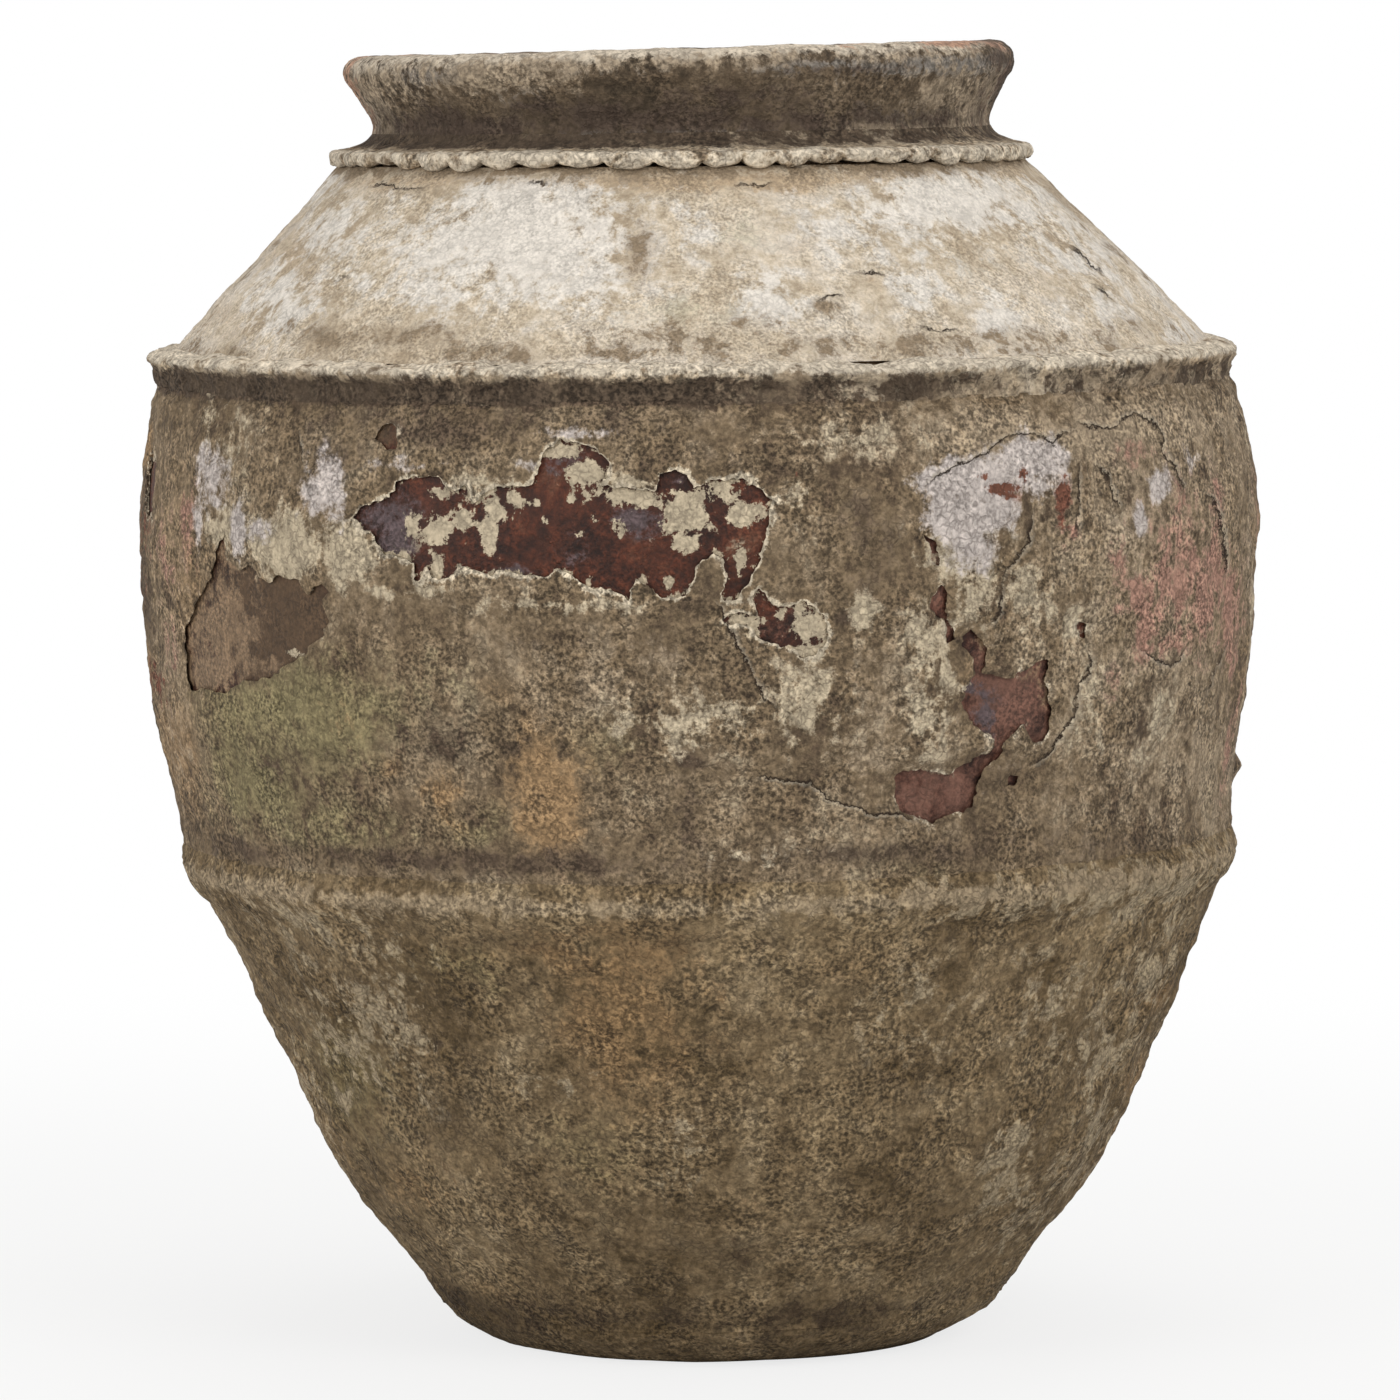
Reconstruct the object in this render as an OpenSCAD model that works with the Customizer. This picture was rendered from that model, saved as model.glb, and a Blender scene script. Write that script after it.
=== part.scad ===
// Large coil-built storage jar for olives, raised in sections that are luted together
// at the two straps and at the frilled collar. Lengths in millimetres, angles in degrees.
// The jar's own axis leans, and its foot is cut level, so it stands as a hand-built jar does.
// The origin is the middle of the level foot, +Z is up and the lean is towards -X.

/* [Sections, foot to rim] */
// Thickness of the foot slab
foot_h = 30; // [24:1:40]
// Height of the lower joint, which the lower strap covers
lower_joint_z = 345; // [280:1:420]
// Height of the widest line above the lower joint
widest_rise = 245; // [190:1:300]
// Height of the shoulder joint above the widest line
shoulder_rise = 110; // [80:1:140]
// Height of the neck joint above the shoulder joint
neck_joint_rise = 148; // [120:1:180]
// Height of the collar between the neck joint and the rim
collar_h = 52; // [42:1:66]
// Height of the rolled rim
rim_h = 25; // [22:1:32]

/* [Diameters over the clay] */
// Level face that the jar stands on
foot_d = 334; // [270:1:390]
// Top of the foot slab
heel_d = 400; // [392:1:440]
// Lower joint
lower_joint_d = 732; // [680:1:780]
// Widest line of the belly
belly_d = 796; // [788:1:960]
// Shoulder joint, on the belly's side
shoulder_joint_d = 762; // [740:1:790]
// Neck joint, on the shoulder's side
neck_joint_d = 472; // [464:1:560]
// Waist of the collar
waist_d = 442; // [432:1:452]
// Rolled rim
rim_d = 480; // [470:1:520]
// Throat that a bung or lid plugs into
throat_d = 388; // [330:1:394]

/* [Walls and joints] */
// Thickness of the clay wall
wall_t = 28; // [24:1:32]
// Height of the tongue that rises inside each joint
lap_h = 10; // [6:1:12]
// Room left in a curved joint and under each coat
gap = 0.3; // [0.2:0.05:0.5]
// Lean of the jar's axis
lean = 1.6; // [0:0.1:3]

/* [Curves] */
// How far the lower wall bows out from a straight line
lower_bow = 18; // [8:1:24]
// How far the belly bows out below its widest line
belly_bow = 8; // [4:1:12]
// How far the belly bows out above its widest line
upper_bow = 3; // [1:0.5:6]
// How far the shoulder bows out from a straight cone
shoulder_bow = 1; // [0:0.5:4]
// How far the toe of the foot bows out
toe_bow = 4; // [1:0.5:7]
// Rounding of the rim's edges
rim_round = 11; // [7:0.5:12]

/* [Straps] */
// Radius of the coil that makes the lower strap
lower_strap_r = 17; // [12:0.5:20]
// Radius of the coil that makes the shoulder strap
shoulder_strap_r = 13; // [10:0.5:16]
// How far the lower strap's coil is sunk behind the face of the wall
lower_strap_set = 3; // [0:0.5:6]
// How far the shoulder strap's coil is sunk behind the face of the wall
shoulder_strap_set = 6; // [0:0.5:8]

/* [Frilled collar] */
// Number of finger-pressed scallops
frill_count = 54; // [40:1:64]
// How far the frill stands out from the neck joint
frill_out = 15.5; // [12:0.5:20]
// Height of the frill's upper edge above the neck joint
frill_up = 8; // [4:1:12]
// How far the scallops hang below the neck joint
frill_down = 8; // [5:1:12]
// Height of each scallop from its cusps to its lowest point
scallop_h = 7; // [3:0.5:9]

/* [Coats] */
// Thickness of the lime coat on the outside
coat_t = 4; // [3:0.5:6]
// Thickness of the glaze on the inside
glaze_t = 1.5; // [1:0.1:2.5]

/* [Hidden] */
$fn = 96;

bow_steps = 10;
round_steps = 6;

foot_r = foot_d / 2;
heel_r = heel_d / 2;
lower_r = lower_joint_d / 2;
belly_r = belly_d / 2;
shoulder_r = shoulder_joint_d / 2;
neck_r = neck_joint_d / 2;
waist_r = waist_d / 2;
rim_r = rim_d / 2;
throat_r = throat_d / 2;

z_low = lower_joint_z;
z_wide = z_low + widest_rise;
z_shoulder = z_wide + shoulder_rise;
z_neck = z_shoulder + neck_joint_rise;
z_rim = z_neck + collar_h;
z_top = z_rim + rim_h;

// The shoulder starts a little inside the belly's top edge, behind its strap.
shoulder_step = 5;
shoulder_foot_r = shoulder_r - shoulder_step;
// The collar's foot is set back from the neck joint, and its waist is drawn in from both ends.
collar_foot_r = neck_r - 2;
collar_draw = collar_foot_r - waist_r;
// A level thickness is this much more on the shoulder's slope than square to it.
slope_gain = norm([shoulder_foot_r - neck_r, neck_joint_rise]) / neck_joint_rise;

// Inner radius at each joint. The wall thickens towards the shoulder, where it turns.
turn_gain = 1.25;
heel_in_r = heel_r - wall_t * norm([lower_r - heel_r, z_low - foot_h]) / (z_low - foot_h);
lower_in_r = lower_r - wall_t;
belly_in_r = belly_r - wall_t;
shoulder_in_r = shoulder_r - wall_t * turn_gain;
neck_in_r = neck_r - wall_t * slope_gain + 2;

// Each joint's tongue is the inner half of the wall.
lower_lap_r = (lower_r + lower_in_r) / 2;
shoulder_lap_r = (shoulder_r + shoulder_in_r) / 2;
neck_lap_r = (neck_r + neck_in_r) / 2;

// The slab is built deeper than its level face, so that the lean leaves no part of it short.
foot_dig = foot_r * sin(lean) + 4;
// Boss in the middle of the slab that the lower wall is set round
boss_h = 8;
// The throat starts above the neck joint's tongue, with a chamfer.
seat_z = z_neck + lap_h + gap;
throat_chamfer = 6;
// Face of the rim left of its throat
rim_set_back = 2;
rim_nose_drop = 40;

// Lime coats stop short of the straps and the frill, and the lowest stops short of the ground.
coat_foot_z = foot_h + 2;
frill_low_z = z_neck - frill_down;
// The frill's sloped top meets the collar this much below its waist.
frill_top_drop = 3;
glaze_top_z = z_neck - 12;

// Places where the coat has flaked off the front of the belly, as level distance from the
// jar's axis and height above the widest line.
flake_back = 100;
flakes = [
    [[-240, 22], [-205, 50], [-150, 34], [-100, 58], [-86, 74], [-66, 65], [-70, 42],
        [0, 48], [48, 32], [36, -24], [18, -38], [-4, -10], [-14, -32], [-50, -34],
        [-98, -13], [-162, -6], [-192, -20], [-212, -2]],
    [[33, -24], [48, -38], [80, -45], [58, -53], [41, -63], [27, -46]],
    [[-343, -10], [-363, -65], [-358, -103], [-330, -100], [-298, -90], [-262, -61],
        [-254, -33], [-272, -21], [-298, -17]],
    [[150, 10], [163, 6], [169, -40], [164, -70], [155, -45]],
    [[172, -96], [192, -78], [235, -88], [234, -144], [204, -152], [182, -165], [181, -194],
        [126, -187], [128, -153], [174, -142]],
];

// Curve from a to b that stands out by bulge to the right of its way, without its last point
function bow(a, b, bulge) =
    let (side = [b.y - a.y, a.x - b.x] / norm(b - a))
    [for (i = [0 : bow_steps - 1])
        let (t = i / bow_steps) a + t * (b - a) + 4 * bulge * t * (1 - t) * side];

// Circular arc about c from one angle to another
function arc(c, r, from, to) =
    [for (i = [0 : round_steps])
        let (a = from + (to - from) * i / round_steps) c + r * [cos(a), sin(a)]];

// Outside of the clay from the heel to the top of the collar, moved out by grow
function outline(grow) = concat(
    bow([heel_r + grow, foot_h], [lower_r + grow, z_low], lower_bow),
    bow([lower_r + grow, z_low], [belly_r + grow, z_wide], belly_bow),
    bow([belly_r + grow, z_wide], [shoulder_r + grow, z_shoulder], upper_bow),
    [[shoulder_r + grow, z_shoulder]],
    bow([shoulder_foot_r + grow * slope_gain, z_shoulder],
        [neck_r + grow * slope_gain, z_neck], shoulder_bow),
    [[neck_r + grow * slope_gain, z_neck]],
    bow([collar_foot_r + grow, z_neck], [collar_foot_r + grow, z_rim], -collar_draw),
    [[collar_foot_r + grow, z_rim]]);

// Outline of the hollow from the floor to the top of the throat, drawn in by shrink
function hollow(shrink) = concat(
    bow([heel_in_r - shrink, foot_h], [lower_in_r - shrink, z_low], lower_bow),
    bow([lower_in_r - shrink, z_low], [belly_in_r - shrink, z_wide], belly_bow),
    bow([belly_in_r - shrink, z_wide], [shoulder_in_r - shrink, z_shoulder], upper_bow),
    [[shoulder_in_r - shrink, z_shoulder], [shoulder_in_r - shrink, z_shoulder + lap_h],
        [neck_in_r - shrink * slope_gain, z_neck],
        [neck_in_r - shrink * slope_gain, seat_z],
        [throat_r - shrink, seat_z + throat_chamfer], [throat_r - shrink, z_rim]]);

// A piece made by turning its section round the jar's leaning axis
module turned() {
    rotate([0, -lean, 0]) rotate_extrude() children();
}

// A section filled in to the axis, from the top of the foot slab to the rim
module filled(edge) {
    polygon(concat([[0, foot_h]], edge, [[0, z_rim]]));
}

module clay_wall() {
    difference() {
        filled(outline(0));
        filled(hollow(0));
    }
}

// All that lies under a joint: its outer half butts and its inner half rises as a tongue
module under_joint(z, lap_r, room) {
    polygon([[0, 0], [belly_d, 0], [belly_d, z], [lap_r + room, z],
        [lap_r + room, z + lap_h + room], [0, z + lap_h + room]]);
}

// Layer over the clay between two heights
module coat_ring(from, to) {
    intersection() {
        difference() {
            filled(outline(gap + coat_t));
            filled(outline(gap));
        }
        translate([0, from]) square([belly_d, to - from]);
    }
}

// Coil of clay pressed onto the outside of the wall
module strap(centre, r) {
    turned() difference() {
        translate(centre) circle(r);
        filled(outline(gap));
    }
}

module foot_slab() {
    color("#6b5138") difference() {
        turned() polygon(concat([[0, -foot_dig], [foot_r, -foot_dig]],
            bow([foot_r, 0], [heel_r, foot_h], toe_bow),
            [[heel_r, foot_h], [heel_in_r - gap, foot_h],
                [heel_in_r - gap, foot_h + boss_h], [0, foot_h + boss_h]]));
        translate([-heel_d, -heel_d, -heel_d]) cube([2 * heel_d, 2 * heel_d, heel_d]);
    }
}

module lower_wall() {
    color("#7a5a3c") turned() intersection() {
        clay_wall();
        under_joint(z_low, lower_lap_r, 0);
    }
}

module belly_wall() {
    color("#5a2f20") turned() intersection() {
        clay_wall();
        difference() {
            under_joint(z_shoulder, shoulder_lap_r, 0);
            under_joint(z_low, lower_lap_r, gap);
        }
    }
}

module shoulder_wall() {
    color("#8a7258") turned() intersection() {
        clay_wall();
        difference() {
            under_joint(z_neck, neck_lap_r, 0);
            under_joint(z_shoulder, shoulder_lap_r, gap);
        }
    }
}

// The straight throat of the collar is the round seat for a bung.
module neck_collar() {
    color("#5c4f41") turned() difference() {
        clay_wall();
        under_joint(z_neck, neck_lap_r, gap);
    }
}

module rim_roll() {
    inner_r = throat_r + rim_set_back;
    color("#8f7f6c") turned() polygon(concat(
        [[inner_r, z_rim], [collar_foot_r, z_rim]],
        arc([rim_r - rim_round, z_top - rim_round], rim_round, -rim_nose_drop, 90),
        arc([inner_r + rim_round, z_top - rim_round], rim_round, 90, 180)));
}

module lower_strap() {
    color("#87755c") strap([lower_r - lower_strap_set, z_low], lower_strap_r);
}

module shoulder_strap() {
    color("#beaf9c") strap([shoulder_r - shoulder_strap_set, z_shoulder], shoulder_strap_r);
}

// A strip round the neck joint whose lower edge is scalloped by round lobes. The strip is cut
// a little lower than the lobes reach, so that they make its whole lower edge.
module collar_frill() {
    out_r = neck_r + frill_out;
    slope_top_z = z_neck + collar_h / 2 - frill_top_drop;
    pitch = 2 * PI * out_r / frill_count;
    lobe_r = (pitch * pitch / 4 + scallop_h * scallop_h) / (2 * scallop_h);
    spare = 1;
    // The strip starts a little above the cusps, where the lobes already meet.
    strip_z = frill_low_z + scallop_h + spare;
    color("#c4b8a5") rotate([0, -lean, 0]) intersection() {
        rotate_extrude() difference() {
            polygon([[waist_r, frill_low_z - spare], [out_r, frill_low_z - spare],
                [out_r, z_neck + frill_up], [waist_r, slope_top_z]]);
            filled(outline(gap));
        }
        union() {
            translate([0, 0, strip_z]) cylinder(h = slope_top_z - strip_z, r = out_r + spare);
            for (i = [0 : frill_count - 1])
                rotate([90, 0, i * 360 / frill_count])
                    translate([0, frill_low_z + lobe_r, waist_r - spare])
                        cylinder(h = out_r - waist_r + 2 * spare, r = lobe_r);
        }
    }
}

module lower_coat() {
    color("#74624a") turned() coat_ring(coat_foot_z, z_low - lower_strap_r - gap);
}

module belly_coat() {
    color("#7f6d57") difference() {
        turned() coat_ring(z_low + lower_strap_r + gap, z_shoulder - shoulder_strap_r - gap);
        for (flake = flakes)
            rotate([90, 0, 0]) rotate([0, 0, lean]) translate([0, z_wide, flake_back])
                linear_extrude(belly_r) polygon(flake);
    }
}

module shoulder_coat() {
    color("#d2c8ba") turned()
        coat_ring(z_shoulder + shoulder_strap_r + gap, frill_low_z - gap);
}

// Glaze that keeps oil and brine in, from the floor up to just under the neck joint
module inner_glaze() {
    floor_z = foot_h + boss_h + gap;
    color("#8f8a3c") turned() difference() {
        intersection() {
            filled(hollow(gap));
            translate([0, floor_z]) square([belly_d, glaze_top_z - floor_z]);
        }
        intersection() {
            filled(hollow(gap + glaze_t));
            translate([0, floor_z + glaze_t]) square([belly_d, glaze_top_z - floor_z]);
        }
    }
}

foot_slab();
lower_wall();
belly_wall();
shoulder_wall();
neck_collar();
rim_roll();
lower_strap();
shoulder_strap();
collar_frill();
lower_coat();
belly_coat();
shoulder_coat();
inner_glaze();
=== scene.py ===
"""Looks of the coil-built olive jar, with the CAD parts as its fixed frame.

Every piece is shaped on a true, upright jar whose axis is Z and whose front faces -Y, with
heights and radii in millimetres. The last step on each piece, finish_piece(), carries it over
to the real jar, which leans and is a little uneven.
"""
import itertools
import math
import random

import bpy
import numpy as np
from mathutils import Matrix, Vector, noise


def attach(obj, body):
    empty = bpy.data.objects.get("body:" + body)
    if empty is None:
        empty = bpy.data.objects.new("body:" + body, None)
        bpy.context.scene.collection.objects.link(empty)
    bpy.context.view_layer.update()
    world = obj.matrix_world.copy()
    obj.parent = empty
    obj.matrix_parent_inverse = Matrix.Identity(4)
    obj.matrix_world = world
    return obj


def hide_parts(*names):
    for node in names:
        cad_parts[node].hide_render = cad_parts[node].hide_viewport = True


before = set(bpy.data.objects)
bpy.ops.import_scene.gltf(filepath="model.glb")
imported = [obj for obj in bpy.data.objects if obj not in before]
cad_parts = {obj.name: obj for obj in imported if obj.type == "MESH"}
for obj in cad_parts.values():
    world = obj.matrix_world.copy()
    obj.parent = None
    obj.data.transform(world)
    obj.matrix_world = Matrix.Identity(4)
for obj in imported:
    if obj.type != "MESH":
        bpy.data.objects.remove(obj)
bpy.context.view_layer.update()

# Without a seed, the noise that breaks the flakes' edges differs from run to run.
noise.seed_set(1)

MM = 0.001
LEAN = math.radians(1.6)
# How far the middle of the jar strays sideways from its leaning axis: height, offset
SWAY = ([0, 180, 300, 430, 650, 850, 925], [0, 4, 2.4, -5, -1.8, -6, -7])
# How far each ring dips to the right of square to the axis: height, degrees
LEVEL = ([0, 345, 700, 850, 925], [0, 0.6, 1.0, 1.0, 0.1])

# ------------------------------------------------------------------ the camera
camera_data = bpy.data.cameras.new("camera")
camera_data.sensor_width = 36
camera_data.lens = 200
camera_data.clip_end = 60
camera = bpy.data.objects.new("camera", camera_data)
camera.location = (-0.0173, -5.6, 0.9268)
camera.rotation_euler = (math.radians(85.19), 0, 0)
bpy.context.scene.collection.objects.link(camera)
bpy.context.scene.camera = camera

# ------------------------------------------------------------------ sizes of the jar
# Outside of the bare clay from the foot to the shoulder joint: height, radius
CLAY = [(30, 200.5), (40, 208.5), (60, 222.5), (80, 238.5), (100, 255), (120, 268.5),
        (140, 280.5), (160, 291), (180, 300), (200, 307.5), (220, 315.5), (240, 324),
        (260, 332.5), (280, 341), (300, 350), (320, 359.4), (345, 366.5), (365, 372.8),
        (380, 374.3), (405, 378), (430, 382.5), (455, 388), (480, 391.5), (505, 393.8),
        (530, 395.5), (555, 396.8), (580, 397.5), (605, 396.5), (630, 394), (655, 390),
        (680, 384), (700, 380)]
# Outside of the bare clay on the shoulder
SHOULDER = [(700, 375.5), (716, 362), (735, 345), (750, 332), (765, 317), (780, 302),
            (795, 287), (810, 272.5), (825, 258), (848, 235.6)]
# The hollow from the floor to the shoulder joint, and from there to the neck joint
HOLLOW = [(30, 168.3), (38.3, 175), (50, 184.3), (70, 199.5), (100, 220.8), (130, 240.4),
          (160, 258.3), (190, 274.7), (220, 289.6), (250, 303.2), (280, 315.5),
          (310, 326.6), (345, 338), (380, 346.5), (420, 354.7), (460, 361), (500, 365.6),
          (540, 368.7), (590, 370), (620, 365.8), (650, 359.9), (680, 352.2), (700, 346)]
SHOULDER_HOLLOW = [(710, 346), (780, 271.7), (848, 199.5)]
COAT = 4.0
GAP = 0.4
# Level thickness on the shoulder's slope, as a share of the thickness square to it
SLOPE = 1.38

# Places where the coat has flaked off the front of the belly: level distance from the axis
# and height, going round each hole
FLAKES = {
    "main": [
        (-233, 611), (-224, 619), (-212, 624), (-204, 629), (-203, 635), (-192, 640),
        (-173, 638), (-171, 632), (-163, 631), (-157, 634), (-153, 627), (-149, 622),
        (-145, 626), (-137, 631), (-126, 633), (-112, 634), (-107, 642), (-103, 655),
        (-91, 663), (-79, 663), (-67, 658), (-59, 649), (-59, 641), (-68, 633), (-54, 632),
        (-37, 631), (-27, 630), (-24, 640), (-16, 643), (-7, 639), (-1, 629), (10, 637),
        (21, 639), (33, 637), (43, 629), (50, 623), (48, 610), (43, 592), (40, 577),
        (33, 566), (26, 556), (18, 555), (15, 561), (20, 569), (18, 584), (12, 587),
        (-1, 579), (-5, 568), (-10, 559), (-24, 560), (-33, 567), (-40, 572), (-45, 564),
        (-47, 555), (-53, 562), (-64, 565), (-75, 567), (-82, 572), (-86, 576), (-95, 578),
        (-102, 573), (-110, 573), (-122, 575), (-131, 576), (-143, 575), (-152, 577),
        (-160, 581), (-164, 573), (-172, 569), (-180, 570), (-183, 579), (-188, 569),
        (-193, 570), (-192, 580), (-204, 585), (-213, 587), (-219, 598), (-224, 602),
        (-231, 606)],
    "small": [
        (17, 543), (23, 548), (32, 549), (40, 545), (38, 551), (38, 559), (42, 563),
        (47, 554), (58, 551), (71, 554), (81, 551), (85, 544), (88, 535), (87, 524),
        (79, 517), (70, 517), (64, 522), (53, 525), (46, 527), (39, 534), (29, 541),
        (21, 540)],
    "left": [
        (-328, 594), (-337, 582), (-339, 566), (-348, 551), (-356, 530), (-361, 524),
        (-362, 507), (-360, 491), (-357, 482), (-342, 484), (-329, 484), (-321, 488),
        (-315, 493), (-294, 497), (-286, 505), (-275, 510), (-264, 520), (-253, 535),
        (-252, 540), (-256, 548), (-256, 554), (-251, 561), (-255, 565), (-263, 561),
        (-266, 557), (-270, 562), (-276, 568), (-288, 568), (-293, 564), (-311, 575),
        (-317, 571), (-324, 579), (-327, 592)],
    "thin": [
        (153, 598), (161, 593), (164, 582), (165, 576), (161, 574), (158, 579), (159, 587),
        (154, 595)],
    "narrow": [
        (165, 563), (171, 558), (169, 551), (168, 543), (170, 535), (175, 533), (176, 525),
        (169, 521), (168, 531), (162, 542), (157, 548), (159, 555)],
    "low": [
        (178, 527), (188, 530), (196, 520), (196, 510), (193, 501), (204, 497), (214, 497),
        (232, 504), (240, 507), (238, 488), (241, 468), (238, 450), (229, 450), (223, 462),
        (213, 456), (205, 443), (195, 434), (191, 425), (185, 415), (184, 407), (168, 404),
        (157, 399), (146, 402), (134, 409), (130, 421), (132, 433), (140, 437), (158, 435),
        (169, 431), (179, 438), (189, 442), (202, 448), (199, 455), (186, 466), (179, 480),
        (181, 491), (188, 501), (186, 511), (180, 519)],
    "spot": [(260, 530), (269, 531), (267, 519), (262, 519)],
    "chip": [(207, 420), (213, 428), (219, 427), (216, 420)],
    "dent": [(-218, 664), (-211, 672), (-203, 673), (-201, 663), (-204, 656), (-211, 657)],
}
# How much lime is left along the edge of each
MARGINS = {"main": 1, "small": 0.9, "left": 0.15, "thin": 0.5, "narrow": 0.6, "low": 0.35,
           "spot": 0.3, "chip": 0.2, "dent": 0.25}
# Flakes round the sides and back, which the photograph can't show: facing angle in degrees,
# height of the middle, half width, half height
FAR_FLAKES = [(96, 560, 66, 36), (124, 470, 38, 50), (150, 610, 84, 30), (176, 520, 44, 40),
              (205, 600, 58, 42), (232, 450, 34, 42), (262, 545, 70, 36), (283, 620, 24, 28)]

# Cracks in the coat of the belly and of the shoulder, as points along each. The coat on the
# left of the way they run stands a little higher.
BELLY_CRACKS = [
    [(11, 556), (16, 546), (25, 529), (31, 515), (36, 505), (41, 495), (46, 488), (51, 481)],
    [(156, 629), (162, 636), (173, 641), (187, 646), (199, 652), (208, 659), (222, 662),
     (234, 660), (245, 654), (251, 661), (260, 662)],
    [(261, 668), (269, 666), (277, 663), (289, 662), (296, 669), (307, 671), (315, 664),
     (321, 657), (322, 645), (331, 631), (335, 623), (338, 612)],
    [(352, 611), (360, 607), (365, 595), (368, 578), (370, 562), (371, 549)],
    [(339, 506), (336, 500), (326, 494), (321, 497), (310, 503), (304, 510)],
    [(371, 502), (366, 488), (360, 481), (355, 468)],
    [(262, 642), (260, 624), (259, 605), (259, 591)],
    [(206, 561), (207, 549), (202, 536), (197, 532)],
    [(229, 610), (226, 599), (225, 587), (214, 574), (208, 566)],
    [(272, 641), (280, 631), (286, 619), (290, 605)],
    [(269, 515), (270, 505), (267, 493), (260, 484), (259, 472), (254, 460), (247, 451),
     (240, 442), (225, 433)],
    [(145, 400), (134, 407), (124, 407), (111, 409), (100, 414), (86, 418), (74, 432),
     (54, 434), (37, 437)],
    [(-271, 668), (-270, 658), (-267, 644)],
    [(-382, 643), (-386, 652)],
]
SHOULDER_CRACKS = [
    [(-222, 831), (-208, 833), (-198, 830), (-178, 830)],
    [(-111, 834), (-100, 835), (-91, 834)],
    [(33, 831), (46, 832), (63, 832)],
    [(266, 788), (276, 777), (282, 771), (291, 763)],
    [(281, 758), (290, 752), (296, 745)],
    [(155, 735), (170, 733), (184, 732)],
    [(86, 754), (96, 757), (107, 756)],
    [(113, 771), (125, 772), (137, 769)],
    [(-245, 766), (-240, 770), (-232, 771)],
    [(348, 711), (359, 711)],
]

# Stains, each a list of soft dabs: level distance from the axis, height, half width, half
# height, strength
SHOULDER_STAINS = {
    "lime": [
        (-103, 799, 66, 44, 1), (-160, 785, 60, 36, 0.75), (-60, 770, 40, 26, 0.6), (177, 815, 62, 24, 1),
        (52, 756, 22, 24, 0.7), (211, 737, 15, 18, 0.8), (158, 764, 22, 16, 0.6),
        (240, 810, 30, 18, 0.7), (3, 795, 22, 30, 0.45), (-183, 795, 30, 30, 0.5),
        (-288, 752, 34, 30, 0.7), (-235, 800, 26, 24, 0.6), (150, 790, 40, 20, 0.5),
        (346, 722, 24, 10, 0.7), (-60, 760, 26, 16, 0.6), (290, 745, 26, 26, 0.5),
        (100, 800, 30, 26, 0.55), (-255, 760, 22, 24, 0.35), (-250, 795, 50, 36, 0.5),
        (275, 790, 44, 40, 0.6)],
    # Soot, and painted shadow in the two long thin dabs just under the frill
    "soot_and_shade": [
        (-36, 789, 9, 26, 0.6), (-216, 730, 76, 10, 0.6), (-7, 730, 70, 10, 0.6),
        (96, 749, 9, 6, 0.5), (-85, 836, 165, 4, 0.45), (163, 724, 165, 8, 0.6), (-80, 722, 140, 7, 0.62),
        (-330, 716, 50, 6, 0.4), (300, 716, 60, 6, 0.4), (80, 838, 160, 3, 0.5)],
    "rust": [
        (-279, 780, 30, 44, 0.6), (247, 768, 30, 18, 0.45), (81, 790, 16, 9, 0.5),
        (-36, 790, 14, 30, 0.6), (125, 764, 13, 8, 0.5), (0, 835, 300, 9, 0.8),
        (-320, 740, 30, 20, 0.5), (-60, 725, 120, 8, 0.3), (300, 770, 16, 30, 0.3)],
    "moss": [(37, 804, 30, 22, 0.35), (-7, 745, 60, 16, 0.4), (200, 780, 50, 20, 0.2)],
}
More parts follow.
